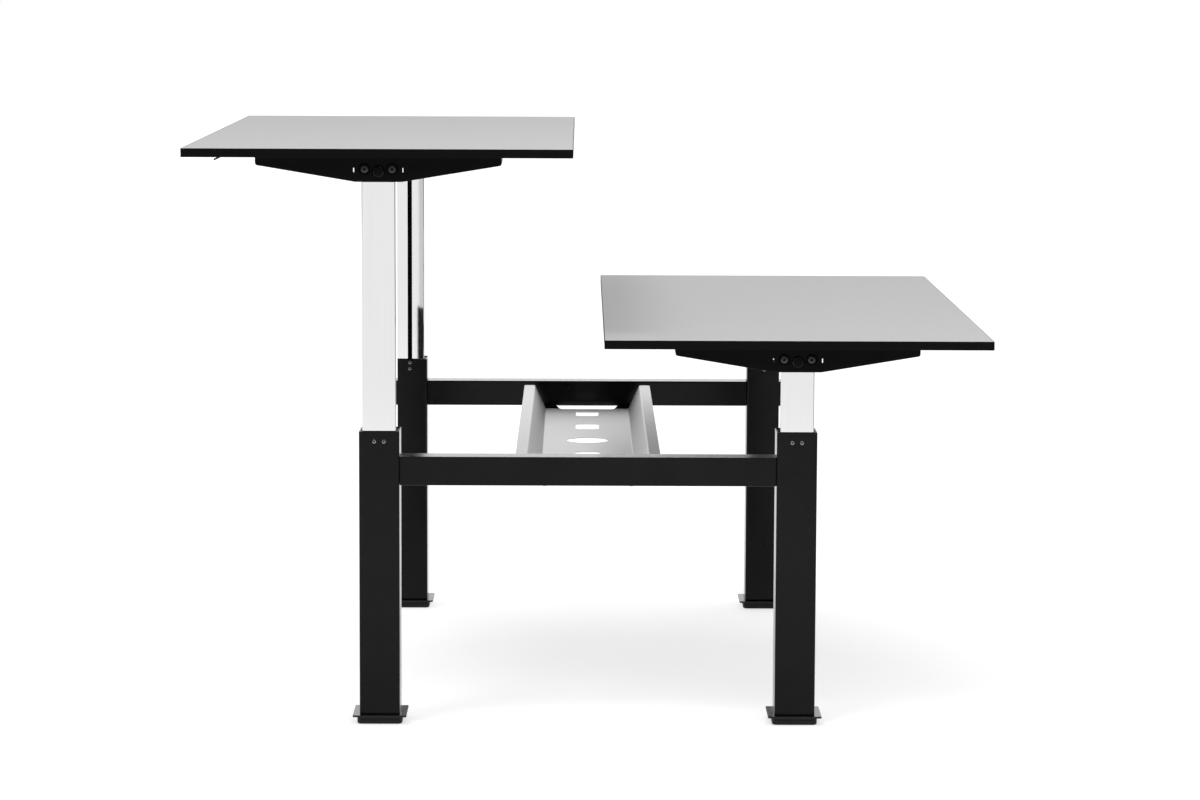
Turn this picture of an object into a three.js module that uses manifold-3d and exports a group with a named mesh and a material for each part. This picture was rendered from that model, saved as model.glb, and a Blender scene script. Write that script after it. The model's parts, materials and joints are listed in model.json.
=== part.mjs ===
// Benching desk for two: two height-adjustable desks, back to back on one steel frame.
// Millimetres, +Z up. The origin is on the floor under the middle of the frame.
// +X runs from the left desk to the right desk, and +Y from the near end to the far end.

import * as THREE from "three";
import { mergeVertices } from "three/addons/utils/BufferGeometryUtils.js";
import Module from "manifold-3d";

const wasm = await Module();
wasm.setup();

// Clearances
const FIT = 0.3; // between two pieces that are fixed to each other
const SLIDE = 0.3; // between a sliding or turning piece and its guide
const SLOT_PLAY = 0.5; // on each side of the nut's arm in the column's slot
const RUNNING = 0.6; // around a shaft, spindle or pin in its bore
const LEAST_FILLET = 0.5; // at the corners inside a thick-walled tube
const CUT_OVERRUN = 2; // how far a cutting shape passes the faces it cuts

// Smoothness of round shapes
const CORNER_STEPS = 2;
const ROD_SIDES = 24;
const PIN_SIDES = 16;
const WIDE_SIDES = 32;

// Desktops
const DESK_LENGTH = 1600;
const DESK_DEPTH = 800;
const TOP_THICKNESS = 18;
const TOP_RADIUS = 4;
const EDGE_BAND = 1;
const DESK_GAP = 65;
const STROKE = 520; // the lift's whole travel
const HEADROOM = 10; // travel that is left above the left desk, which is raised
const RIGHT_RAISE = 120; // how far the right desk stands above its lowest place

// Telescopic columns
const COLUMN_INSET = 52; // from the desktop's end to the outer column's face
const OUTER_WIDTH = 84;
const OUTER_WALL = 3;
const OUTER_RADIUS = 5;
const GUIDE_GAP = 4; // between the outer column's wall and the inner column
const INNER_WALL = 3;
const INNER_RADIUS = 2.5;
const COLUMN_OVERLAP = 62; // inner column that stays in the outer one at full height
const RIM_CLEARANCE = 5.7; // from the outer column's rim to the arm at the lowest place
const PLATE_CLEARANCE = 12; // from the base plate to the inner column at the lowest place
const COLLAR_HEIGHT = 60;
const COLLAR_RECESS = 2;

// Spindle drive
const SPINDLE_DIAMETER = 16;
const SPINDLE_OVERRUN = 16; // spindle that stays below the nut at full height
const SPINDLE_HOLE_PLAY = 2; // around the spindle in the arm's sheet
const NUT_WALL = 8;
const NUT_HEIGHT = 28;
const NUT_RECESS = 6; // from the outer column's rim down to the nut
const NUT_ARM_WIDTH = 9.5;
const NUT_PAD_WIDTH = 20;
const SHAFT_DIAMETER = 12;
const SHAFT_RISE = 22; // from the arm's underside up to the shaft's axis
const GEAR_MESH = 0.45; // how far each bevel gear stays inside its pitch cone
const GEAR_HUB = 2; // how far a gear's small end stands out from the shaft
const GEARBOX_SIDE = 6; // from the end of the arm's flat underside to the gearbox
const GEARBOX_WALL = 5;
const GEARBOX_FLOOR = 3;

// Feet
const FOOT_WIDTH = 94;
const FOOT_HEIGHT = 16;
const FOOT_RADIUS = 6;
const FOOT_ROUNDING = 4;
const STUD_DIAMETER = 12;
const STUD_REACH = 10; // stud that stands above the base plate
const PLATE_WIDTH = 112;
const PLATE_THICKNESS = 4;
const PLATE_RADIUS = 3;

// Cross beams
const BEAM_WIDTH = 60;
const BEAM_WALL = 3;
const BEAM_RADIUS = 3;
const BEAM_DROP = 54; // from the outer column's rim down to the beam's top

// Cable tray and its brackets
const TRAY_FLOOR = 200;
const TRAY_MOUTH = 254;
const TRAY_DEPTH = 52.5;
const TRAY_FLANGE = 25;
const TRAY_SHEET = 1.5;
const TRAY_BEND = 2; // strip of floor that stays on the wall where the floor is cut back
const TRAY_END_GAP = 36; // from the beam's face to the tray's end
const FLOOR_SETBACK = 40; // from the tray's end to its floor's end
const FLANGE_RADIUS = 6;
const HOLE_DIAMETER = 94;
const SLOT_LENGTH = 96;
const SLOT_WIDTH = 54;
const SLOT_RADIUS = 12;
const SLOT_PITCH = 250;
const SLOT_MARGIN = 20; // least floor between the last slot and the cut-out
const BRACKET_SHEET = 3;
const BRACKET_SEAT = 40; // bracket that lies under the tray's floor
const BRACKET_GRIP = 34; // bracket that lies under the beam
const CUTOUT_STRIP = 17; // bracket that is left beside the cut-out under the beam
const CUTOUT_FLARE = 21; // how far each side opens out towards the beam
const CUTOUT_REACH = 12; // cut-out that goes into the tray's floor
const CUTOUT_COVER = 24; // cut-out that lies under the beam
const CUTOUT_RADIUS = 12;

// Support arms and rails
const ARM_LENGTH = 506;
const ARM_HEIGHT = 52;
const ARM_TIP = 18;
const ARM_FLAT = 96;
const ARM_DEPTH = 84;
const ARM_SHEET = 4;
const ARM_TIP_RADIUS = 5;
const SLIT_WEB = 8.45; // between a screw recess and the slit
const SLIT_RISE = 24.4;
const SLIT_WIDTH = 3.5;
const SLIT_HEIGHT = 11;
const RECESS_WEB = 3.3; // between the cap's hole and a screw recess
const RECESS_RISE = 27;
const RECESS_DIAMETER = 24;
const CAP_DIAMETER = 26;
const RAIL_GAP = 6; // between the motor and the rail beside it
const RAIL_WIDTH = 40;
const RAIL_HEIGHT = 25;
const RAIL_WALL = 2;

// Motor and control box
const MOTOR_HEAD_LENGTH = 50;
const MOTOR_HEAD_DROP = 23; // from the shaft's axis down to the head's underside
const MOTOR_SIDE = 30; // head beyond the shaft, away from the motor
const MOTOR_OFFSET = 36; // from the shaft to the motor's own axis
const MOTOR_DIAMETER = 46;
const MOTOR_LENGTH = 120;
const MOTOR_SEAT = 1; // motor that sits in its gear head
const MOTOR_POSITION = -40;
const CONTROL_LENGTH = 220;
const CONTROL_WIDTH = 96;
const CONTROL_HEIGHT = 32;
const CONTROL_RADIUS = 8;
const CONTROL_OFFSET = 185; // from the desk's middle towards its inner edge
const CONTROL_POSITION = 220; // from the desk's middle along its length
const SOCKET_WIDTH = 18;
const SOCKET_HEIGHT = 12;
const SOCKET_DEPTH = 10;
const SOCKET_PITCH = 28;

// Paddle switch
const PADDLE_INSET = 42; // from the user's edge of the desktop to the paddle's tip
const PADDLE_LENGTH = 30;
const PADDLE_WIDTH = 60;
const PADDLE_THICKNESS = 3.5;
const PADDLE_TILT = THREE.MathUtils.degToRad(26);
const PADDLE_FROM_END = 300;
const BARREL_DIAMETER = 8;
const PIN_DIAMETER = 4;
const CHEEK = 6;
const HOUSING_DEPTH = 40; // housing behind the paddle's axis
const HOUSING_HEIGHT = 12;

// Places that follow from the sizes above
const columnX = (DESK_GAP + DESK_DEPTH) / 2;
const columnY = DESK_LENGTH / 2 - COLUMN_INSET - OUTER_WIDTH / 2;
const plateTop = FOOT_HEIGHT + PLATE_THICKNESS;
const outerLength = STROKE + COLUMN_OVERLAP + PLATE_CLEARANCE;
const rimZ = plateTop + outerLength;
const innerWidth = OUTER_WIDTH - 2 * OUTER_WALL - 2 * GUIDE_GAP;
const armTop = -FIT;
const armBottom = armTop - ARM_HEIGHT;
const shaftZ = armBottom + SHAFT_RISE;
const columnTop = armBottom - FIT;
const innerLength = outerLength + RIM_CLEARANCE - FIT - PLATE_CLEARANCE;
const lowestUnderside = rimZ + RIM_CLEARANCE - armBottom;
const nutBottom = rimZ - NUT_RECESS - NUT_HEIGHT;
const spindleBottom = nutBottom - SPINDLE_OVERRUN - (lowestUnderside + STROKE);
const beamTop = rimZ - BEAM_DROP;
const beamBottom = beamTop - BEAM_WIDTH;
const beamFace = columnY - BEAM_WIDTH / 2;
const trayHalf = beamFace - TRAY_END_GAP;
const floorHalf = trayHalf - FLOOR_SETBACK;
const cutoutWidth = TRAY_FLOOR - 2 * CUTOUT_STRIP - 2 * CUTOUT_FLARE;
const slotReach = floorHalf - CUTOUT_REACH - SLOT_MARGIN - SLOT_LENGTH / 2;
const slotsEachWay = Math.floor(slotReach / SLOT_PITCH);
const recessOffset = CAP_DIAMETER / 2 + RECESS_WEB + RECESS_DIAMETER / 2;
const slitOffset = recessOffset + RECESS_DIAMETER / 2 + SLIT_WEB + SLIT_WIDTH / 2;
const railOffset = MOTOR_OFFSET + MOTOR_DIAMETER / 2 + RAIL_GAP + RAIL_WIDTH / 2;
const gearboxWidth = ARM_FLAT - 2 * GEARBOX_SIDE;
const gearboxDepth = ARM_DEPTH - 2 * ARM_SHEET - 2 * FIT;
const gearboxBottom = armBottom + ARM_SHEET + FIT;
const gearboxTop = armTop - ARM_SHEET - FIT;
const gearBack = shaftZ - (gearboxBottom + GEARBOX_FLOOR + SLIDE);
const gearFront = SHAFT_DIAMETER / 2 + GEAR_HUB;

// Each desk's ends are named in the order of its own length, which its turn reverses.
const SIDES = [
  {
    name: "left",
    x: -columnX,
    undersideZ: lowestUnderside + STROKE - HEADROOM,
    turn: 0,
    ends: ["near", "far"],
  },
  {
    name: "right",
    x: columnX,
    undersideZ: lowestUnderside + RIGHT_RAISE,
    turn: Math.PI,
    ends: ["far", "near"],
  },
];
const ENDS = [
  { name: "near", y: -columnY, turn: 0 },
  { name: "far", y: columnY, turn: Math.PI },
];

// Materials
function finish(color, roughness, metalness) {
  return new THREE.MeshStandardMaterial({ color, roughness, metalness });
}

const MATERIALS = {
  laminate: finish(0xbfbfbf, 0.55, 0),
  edge: finish(0x16161a, 0.45, 0),
  powderCoat: finish(0x161617, 0.4, 0.2),
  chrome: finish(0xe8e8ea, 0.05, 1),
  tray: finish(0xb8b8b8, 0.4, 0.6),
  plastic: finish(0x121212, 0.5, 0),
  steel: finish(0x9a9a9c, 0.3, 1),
  brass: finish(0xb08d4a, 0.35, 1),
  casting: finish(0x8c8d8f, 0.5, 0.9),
};

// Outlines
function roundedRect(width, depth, radius, Outline = THREE.Shape) {
  const r = Math.min(radius, width / 2, depth / 2);
  const x = width / 2 - r;
  const y = depth / 2 - r;
  const outline = new Outline();
  outline.absarc(x, y, r, 0, 0.5 * Math.PI);
  outline.absarc(-x, y, r, 0.5 * Math.PI, Math.PI);
  outline.absarc(-x, -y, r, Math.PI, 1.5 * Math.PI);
  outline.absarc(x, -y, r, 1.5 * Math.PI, 2 * Math.PI);
  outline.closePath();
  return outline;
}

function circle(x, y, diameter, Outline = THREE.Path) {
  const outline = new Outline();
  outline.absarc(x, y, diameter / 2, 0, 2 * Math.PI);
  return outline;
}

function polygon(points, Outline = THREE.Shape) {
  return new Outline(points.map(([x, y]) => new THREE.Vector2(x, y)));
}

function tubeOutline(width, depth, wall, radius) {
  const outline = roundedRect(width, depth, radius);
  const bore = Math.max(radius - wall, LEAST_FILLET);
  outline.holes.push(roundedRect(width - 2 * wall, depth - 2 * wall, bore, THREE.Path));
  return outline;
}

// A square tube with a slot of the given width in its +Y face.
function slottedTubeOutline(width, wall, radius, slot) {
  const half = width / 2;
  const r = Math.min(radius, half);
  const corner = half - r;
  const bore = half - wall;
  const outline = new THREE.Shape();
  outline.moveTo(-slot / 2, bore);
  outline.lineTo(-slot / 2, half);
  outline.absarc(-corner, corner, r, 0.5 * Math.PI, Math.PI);
  outline.absarc(-corner, -corner, r, Math.PI, 1.5 * Math.PI);
  outline.absarc(corner, -corner, r, 1.5 * Math.PI, 2 * Math.PI);
  outline.absarc(corner, corner, r, 0, 0.5 * Math.PI);
  outline.lineTo(slot / 2, half);
  outline.lineTo(slot / 2, bore);
  outline.lineTo(bore, bore);
  outline.lineTo(bore, -bore);
  outline.lineTo(-bore, -bore);
  outline.lineTo(-bore, bore);
  outline.closePath();
  return outline;
}

// Solids
function prism(outline, height, segments = CORNER_STEPS) {
  const options = { depth: height, bevelEnabled: false, curveSegments: segments };
  return new THREE.ExtrudeGeometry(outline, options);
}

// An outline in X and Z that runs along +Y from zero.
function prismAlongY(outline, length, segments = CORNER_STEPS) {
  return prism(outline, length, segments).rotateX(Math.PI / 2).translate(0, length, 0);
}

// An outline in Y and Z that runs along +X from zero.
function prismAlongX(outline, length, segments = CORNER_STEPS) {
  return prism(outline, length, segments).rotateX(Math.PI / 2).rotateZ(Math.PI / 2);
}

function block(width, depth, height) {
  return new THREE.BoxGeometry(width, depth, height);
}

function rodAlongY(diameter, length, sides = ROD_SIDES) {
  return new THREE.CylinderGeometry(diameter / 2, diameter / 2, length, sides);
}

function rodAlongZ(diameter, length, sides = ROD_SIDES) {
  return rodAlongY(diameter, length, sides).rotateX(Math.PI / 2);
}

// A round piece along Y, from a profile of radius and place that starts and ends on the axis.
function turned(profile) {
  const points = profile.map(([radius, y]) => new THREE.Vector2(radius, y));
  return new THREE.LatheGeometry(points, ROD_SIDES);
}

// Joining and cutting
function toManifold(geometry) {
  const bare = geometry.clone();
  bare.deleteAttribute("normal");
  bare.deleteAttribute("uv");
  const merged = mergeVertices(bare, 1e-4);
  const vertProperties = new Float32Array(merged.attributes.position.array);
  const triVerts = new Uint32Array(merged.index.array);
  return new wasm.Manifold(new wasm.Mesh({ numProp: 3, vertProperties, triVerts }));
}

function toGeometry(manifold) {
  const { vertProperties, triVerts } = manifold.getMesh();
  const joined = new THREE.BufferGeometry();
  joined.setAttribute("position", new THREE.BufferAttribute(vertProperties, 3));
  joined.setIndex(new THREE.BufferAttribute(triVerts, 1));
  const faceted = joined.toNonIndexed();
  faceted.computeVertexNormals();
  return faceted;
}

function join(geometries, cuts = []) {
  const whole = geometries.map(toManifold).reduce((sum, next) => sum.add(next));
  return toGeometry(cuts.map(toManifold).reduce((rest, cut) => rest.subtract(cut), whole));
}

function piece(name, geometry, material, x = 0, y = 0, z = 0) {
  const mesh = new THREE.Mesh(geometry, material);
  mesh.name = name;
  mesh.position.set(x, y, z);
  return mesh;
}

// Frame: what stands under one column. Local +Y points to the middle of the desk.
function outerColumn() {
  return prism(tubeOutline(OUTER_WIDTH, OUTER_WIDTH, OUTER_WALL, OUTER_RADIUS), outerLength - FIT);
}

function basePlate() {
  const outline = roundedRect(PLATE_WIDTH, PLATE_WIDTH, PLATE_RADIUS);
  outline.holes.push(circle(0, 0, STUD_DIAMETER + 2 * SLIDE));
  return prism(outline, PLATE_THICKNESS, PIN_SIDES / 2);
}

function levellingFoot() {
  const height = FOOT_HEIGHT - FIT;
  const pad = roundedRect(FOOT_WIDTH - 2 * FOOT_ROUNDING, FOOT_WIDTH - 2 * FOOT_ROUNDING, FOOT_RADIUS);
  const rounded = new THREE.ExtrudeGeometry(pad, {
    depth: height - 2 * FOOT_ROUNDING,
    curveSegments: CORNER_STEPS,
    bevelSize: FOOT_ROUNDING,
    bevelThickness: FOOT_ROUNDING,
    bevelSegments: CORNER_STEPS,
  });
  rounded.translate(0, 0, FOOT_ROUNDING);
  const upper = prism(roundedRect(FOOT_WIDTH, FOOT_WIDTH, FOOT_RADIUS + FOOT_ROUNDING), height / 2);
  upper.translate(0, 0, height / 2);
  const studTop = plateTop + STUD_REACH;
  const stud = rodAlongZ(STUD_DIAMETER, studTop - height / 2, PIN_SIDES);
  stud.translate(0, 0, (studTop + height / 2) / 2);
  return join([rounded, upper, stud]);
}

function guideCollar() {
  const width = OUTER_WIDTH - 2 * OUTER_WALL - 2 * FIT;
  const wall = GUIDE_GAP - FIT - SLIDE;
  const radius = Math.max(OUTER_RADIUS - OUTER_WALL, LEAST_FILLET);
  return prism(slottedTubeOutline(width, wall, radius, NUT_PAD_WIDTH + 2 * FIT), COLLAR_HEIGHT);
}

// The nut's pad lies on the outer column's wall, and its arm reaches in through the slot.
function spindleNut() {
  const padFace = OUTER_WIDTH / 2 - OUTER_WALL - FIT;
  const padDepth = GUIDE_GAP - FIT - SLIDE;
  const pad = block(NUT_PAD_WIDTH, padDepth, NUT_HEIGHT);
  pad.translate(0, padFace - padDepth / 2, NUT_HEIGHT / 2);
  const armReach = padFace - padDepth / 2;
  const arm = block(NUT_ARM_WIDTH, armReach, NUT_HEIGHT).translate(0, armReach / 2, NUT_HEIGHT / 2);
  const ring = rodAlongZ(SPINDLE_DIAMETER + 2 * NUT_WALL, NUT_HEIGHT).translate(0, 0, NUT_HEIGHT / 2);
  const bore = rodAlongZ(SPINDLE_DIAMETER + 2 * RUNNING, NUT_HEIGHT + 2 * CUT_OVERRUN);
  return join([pad, arm, ring], [bore.translate(0, 0, NUT_HEIGHT / 2)]);
}

function columnFoot(side, end) {
  const place = `${side.name}_${end.name}`;
  const collarZ = rimZ - COLLAR_RECESS - COLLAR_HEIGHT;
  const foot = new THREE.Group();
  foot.position.set(side.x, end.y, 0);
  foot.rotation.z = end.turn;
  foot.add(
    piece(`levelling_foot_${place}`, levellingFoot(), MATERIALS.plastic),
    piece(`base_plate_${place}`, basePlate(), MATERIALS.powderCoat, 0, 0, FOOT_HEIGHT),
    piece(`outer_column_${place}`, outerColumn(), MATERIALS.powderCoat, 0, 0, plateTop + FIT),
    piece(`guide_collar_${place}`, guideCollar(), MATERIALS.plastic, 0, 0, collarZ),
    piece(`spindle_nut_${place}`, spindleNut(), MATERIALS.brass, 0, 0, nutBottom),
  );
  return foot;
}

// Frame: the cross beams and the tray between them.
function crossBeam() {
  const length = 2 * (columnX - OUTER_WIDTH / 2 - FIT);
  const outline = tubeOutline(BEAM_WIDTH, BEAM_WIDTH, BEAM_WALL, BEAM_RADIUS);
  return prismAlongX(outline, length).translate(-length / 2, 0, 0);
}

// The folded sheet's section, with its floor's upper face at zero.
function traySection() {
  const floor = TRAY_FLOOR / 2;
  const mouth = TRAY_MOUTH / 2;
  const lip = mouth + TRAY_FLANGE;
  const lean = (mouth - floor) / TRAY_DEPTH;
  const fold = TRAY_SHEET * (Math.hypot(1, lean) - lean);
  const right = [
    [floor, 0],
    [mouth, TRAY_DEPTH],
    [lip, TRAY_DEPTH],
    [lip, TRAY_DEPTH - TRAY_SHEET],
    [mouth + fold, TRAY_DEPTH - TRAY_SHEET],
    [floor + fold, -TRAY_SHEET],
  ];
  const left = right.map(([x, z]) => [-x, z]).reverse();
  return polygon([...right, ...left]);
}

// The opening for cables at the tray's end, through its floor and the bracket. Its sides lean
// apart from the rounded end in the floor to the square end under the beam.
function cableCutout(sheet) {
  const depth = 2 * (sheet + CUT_OVERRUN);
  const low = cutoutWidth / 2;
  const high = low + CUTOUT_FLARE;
  const start = floorHalf - CUTOUT_REACH;
  const end = beamFace + CUTOUT_COVER;
  const lean = CUTOUT_FLARE / (end - start);
  const r = CUTOUT_RADIUS;
  const outline = new THREE.Shape();
  outline.moveTo(-low + r, start);
  outline.lineTo(low - r, start);
  outline.quadraticCurveTo(low, start, low + r * lean, start + r);
  outline.lineTo(high, end);
  outline.lineTo(-high, end);
  outline.lineTo(-low - r * lean, start + r);
  outline.quadraticCurveTo(-low, start, -low + r, start);
  return prism(outline, depth, 2 * CORNER_STEPS).translate(0, 0, -depth / 2);
}

function trayFloorCuts() {
  const depth = 2 * (TRAY_SHEET + CUT_OVERRUN);
  const cuts = [rodAlongZ(HOLE_DIAMETER, depth, WIDE_SIDES)];
  for (const way of [-1, 1]) {
    for (let step = 1; step <= slotsEachWay; step += 1) {
      const slot = prism(roundedRect(SLOT_WIDTH, SLOT_LENGTH, SLOT_RADIUS), depth);
      cuts.push(slot.translate(0, way * step * SLOT_PITCH, -depth / 2));
    }
    const end = block(TRAY_FLOOR - 2 * TRAY_BEND, 2 * FLOOR_SETBACK, depth);
    cuts.push(end.translate(0, way * trayHalf, 0));
    cuts.push(cableCutout(TRAY_SHEET).rotateZ(way > 0 ? 0 : Math.PI));
  }
  return cuts;
}

// What is cut from the flanges' ends to round their corners.
function flangeCorners() {
  const depth = 2 * (TRAY_SHEET + CUT_OVERRUN);
  const corners = [];
  for (const acrossWay of [-1, 1]) {
    for (const alongWay of [-1, 1]) {
      const square = block(FLANGE_RADIUS + FIT, FLANGE_RADIUS + FIT, depth);
      const reach = (FLANGE_RADIUS + FIT) / 2;
      square.translate(acrossWay * reach, alongWay * reach, 0);
      const arc = rodAlongZ(2 * FLANGE_RADIUS, depth + 2 * CUT_OVERRUN, WIDE_SIDES);
      const corner = join([square], [arc]);
      const x = acrossWay * (TRAY_MOUTH / 2 + TRAY_FLANGE - FLANGE_RADIUS);
      const y = alongWay * (trayHalf - FLANGE_RADIUS);
      corners.push(corner.translate(x, y, TRAY_DEPTH));
    }
  }
  return corners;
}

function cableTray() {
  const sheet = prismAlongY(traySection(), 2 * trayHalf).translate(0, -trayHalf, 0);
  return join([sheet], [...trayFloorCuts(), ...flangeCorners()]);
}

// A flat plate under the beam that carries the tray's end, with the cable opening in it.
function trayBracket() {
  const start = floorHalf - BRACKET_SEAT;
  const end = beamFace + BRACKET_GRIP;
  const plate = block(TRAY_FLOOR, end - start, BRACKET_SHEET).translate(0, (start + end) / 2, 0);
  return join([plate], [cableCutout(BRACKET_SHEET)]);
}

function beamAndBracket(end) {
  const bridge = new THREE.Group();
  bridge.rotation.z = Math.PI - end.turn;
  const beamZ = beamTop - BEAM_WIDTH / 2;
  const bracketZ = beamBottom - FIT - BRACKET_SHEET / 2;
  bridge.add(
    piece(`cross_beam_${end.name}`, crossBeam(), MATERIALS.powderCoat, 0, columnY, beamZ),
    piece(`tray_bracket_${end.name}`, trayBracket(), MATERIALS.powderCoat, 0, 0, bracketZ),
  );
  return bridge;
}

// Desk: the board and its edge. Local zero is the board's underside.
function desktop() {
  const inset = 2 * (EDGE_BAND + FIT);
  const radius = Math.max(TOP_RADIUS - inset / 2, LEAST_FILLET);
  return prism(roundedRect(DESK_DEPTH - inset, DESK_LENGTH - inset, radius), TOP_THICKNESS);
}

function edgeBand() {
  return prism(tubeOutline(DESK_DEPTH, DESK_LENGTH, EDGE_BAND, TOP_RADIUS), TOP_THICKNESS);
}

// Desk: the arm on each column. Its outline has zero at the arm's underside.
function armOutline() {
  const tip = ARM_LENGTH / 2;
  const tipZ = ARM_HEIGHT - ARM_TIP;
  const flat = ARM_FLAT / 2;
  const slope = tipZ / (tip - flat);
  const r = ARM_TIP_RADIUS;
  const outline = new THREE.Shape();
  outline.moveTo(-flat, 0);
  outline.lineTo(flat, 0);
  outline.lineTo(tip - r, tipZ - r * slope);
  outline.quadraticCurveTo(tip, tipZ, tip, tipZ + r);
  outline.lineTo(tip, ARM_HEIGHT);
  outline.lineTo(-tip, ARM_HEIGHT);
  outline.lineTo(-tip, tipZ + r);
  outline.quadraticCurveTo(-tip, tipZ, -tip + r, tipZ - r * slope);
  outline.closePath();
  return outline;
}

// The hollow between the arm's flanges, one sheet inside its outline.
function armPocket() {
  const slope = (ARM_HEIGHT - ARM_TIP) / ((ARM_LENGTH - ARM_FLAT) / 2);
  const rise = ARM_SHEET * Math.hypot(1, slope);
  const end = ARM_LENGTH / 2 - ARM_SHEET;
  const flat = ARM_FLAT / 2 - (rise - ARM_SHEET) / slope;
  const endZ = rise + (end - ARM_FLAT / 2) * slope;
  const ceiling = ARM_HEIGHT - ARM_SHEET;
  const right = [
    [flat, ARM_SHEET],
    [end, endZ],
    [end, ceiling],
  ];
  const left = right.map(([x, z]) => [-x, z]).reverse();
  return polygon([...right, ...left], THREE.Path);
}

function armFace() {
  const face = armOutline();
  face.holes.push(circle(0, SHAFT_RISE, CAP_DIAMETER));
  for (const way of [-1, 1]) {
    face.holes.push(circle(way * recessOffset, RECESS_RISE, RECESS_DIAMETER));
    const x = way * slitOffset;
    const corners = [
      [x - SLIT_WIDTH / 2, SLIT_RISE - SLIT_HEIGHT / 2],
      [x + SLIT_WIDTH / 2, SLIT_RISE - SLIT_HEIGHT / 2],
      [x + SLIT_WIDTH / 2, SLIT_RISE + SLIT_HEIGHT / 2],
      [x - SLIT_WIDTH / 2, SLIT_RISE + SLIT_HEIGHT / 2],
    ];
    face.holes.push(polygon(corners, THREE.Path));
  }
  return face;
}

// The arm's face is at its local -Y side, and its flanges reach in towards +Y.
function supportArm() {
  const face = prismAlongY(armFace(), ARM_SHEET, ROD_SIDES / 4);
  const frame = armOutline();
  frame.holes.push(armPocket());
  const flanges = prismAlongY(frame, ARM_DEPTH, ROD_SIDES / 4);
  const holeDiameter = SPINDLE_DIAMETER + 2 * SPINDLE_HOLE_PLAY;
  const spindleHole = rodAlongZ(holeDiameter, 2 * (ARM_SHEET + CUT_OVERRUN));
  spindleHole.translate(0, ARM_DEPTH / 2, 0);
  return join([face, flanges], [spindleHole]).translate(0, -ARM_DEPTH / 2, 0);
}

function innerColumn() {
  const slot = NUT_ARM_WIDTH + 2 * SLOT_PLAY;
  return prism(slottedTubeOutline(innerWidth, INNER_WALL, INNER_RADIUS, slot), innerLength);
}

// The gearbox is an open cup under the arm's upper flange, with a bore for each shaft.
function gearbox() {
  const height = gearboxTop - gearboxBottom;
  const cup = block(gearboxWidth, gearboxDepth, height).translate(0, 0, height / 2);
  const hollow = block(gearboxWidth - 2 * GEARBOX_WALL, gearboxDepth - 2 * GEARBOX_WALL, height);
  hollow.translate(0, 0, height / 2 + GEARBOX_FLOOR);
  const spindleBore = rodAlongZ(SPINDLE_DIAMETER + 2 * RUNNING, 2 * (GEARBOX_FLOOR + CUT_OVERRUN));
  const shaftBore = rodAlongY(SHAFT_DIAMETER + 2 * RUNNING, gearboxDepth + 2 * CUT_OVERRUN);
  shaftBore.translate(0, 0, shaftZ - gearboxBottom);
  return join([cup], [hollow, spindleBore, shaftBore]);
}

// Bevel gears are plain cones that share their apex where the two axes cross.
function spindle() {
  const r = SPINDLE_DIAMETER / 2;
  const profile = [
    [0, spindleBottom],
    [r, spindleBottom],
    [r, shaftZ - gearBack],
    [gearBack - GEAR_MESH, shaftZ - gearBack],
    [gearFront - GEAR_MESH, shaftZ - gearFront],
    [0, shaftZ - gearFront],
  ];
  return turned(profile).rotateX(Math.PI / 2);
}

function shaftGear(y) {
  const r = SHAFT_DIAMETER / 2;
  return [
    [r, y + gearFront],
    [gearFront - GEAR_MESH, y + gearFront],
    [gearBack - GEAR_MESH, y + gearBack],
    [r, y + gearBack],
  ];
}

// Both of the shaft's gears face the same way, so that both spindles turn alike.
function driveShaft() {
  const r = SHAFT_DIAMETER / 2;
  const end = columnY + gearboxDepth / 2 - FIT;
  const nearEnd = [[0, -end], [r, -end]];
  const farEnd = [[r, end], [0, end]];
  return turned([...nearEnd, ...shaftGear(-columnY), ...shaftGear(columnY), ...farEnd]);
}

function columnHead(side, endName, y, turn) {
  const place = `${side.name}_${endName}`;
  const head = new THREE.Group();
  head.position.set(0, y, 0);
  head.rotation.z = turn;
  head.add(
    piece(`support_arm_${place}`, supportArm(), MATERIALS.powderCoat, 0, 0, armBottom),
    piece(`inner_column_${place}`, innerColumn(), MATERIALS.chrome, 0, 0, columnTop - innerLength),
    piece(`gearbox_${place}`, gearbox(), MATERIALS.casting, 0, 0, gearboxBottom),
    piece(`spindle_${place}`, spindle(), MATERIALS.steel),
  );
  return head;
}

// Desk: what hangs under the board between the arms. The user sits at local -X.
function sideRail() {
  const length = 2 * (columnY + ARM_DEPTH / 2 - ARM_SHEET - FIT);
  const outline = tubeOutline(RAIL_WIDTH, RAIL_HEIGHT, RAIL_WALL, RAIL_WALL);
  return prismAlongY(outline, length, 1).translate(0, -length / 2, 0);
}

function motor() {
  const headTop = -FIT - shaftZ;
  const headHeight = headTop + MOTOR_HEAD_DROP;
  const headOuter = MOTOR_OFFSET + MOTOR_DIAMETER / 2;
  const head = block(MOTOR_SIDE + headOuter, MOTOR_HEAD_LENGTH, headHeight);
  head.translate((MOTOR_SIDE - headOuter) / 2, 0, headTop - headHeight / 2);
  const can = rodAlongY(MOTOR_DIAMETER, MOTOR_LENGTH + MOTOR_SEAT, WIDE_SIDES);
  can.translate(-MOTOR_OFFSET, (MOTOR_HEAD_LENGTH + MOTOR_LENGTH - MOTOR_SEAT) / 2, 0);
  const bore = rodAlongY(SHAFT_DIAMETER + 2 * RUNNING, MOTOR_HEAD_LENGTH + 2 * CUT_OVERRUN);
  return join([head, can], [bore]);
}

function controlBox() {
  const body = prism(roundedRect(CONTROL_WIDTH, CONTROL_LENGTH, CONTROL_RADIUS), CONTROL_HEIGHT);
  const sockets = [-1, 0, 1].map((step) => {
    const socket = block(SOCKET_WIDTH, 2 * SOCKET_DEPTH, SOCKET_HEIGHT);
    return socket.translate(step * SOCKET_PITCH, -CONTROL_LENGTH / 2, CONTROL_HEIGHT / 2);
  });
  return join([body], sockets);
}

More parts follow.
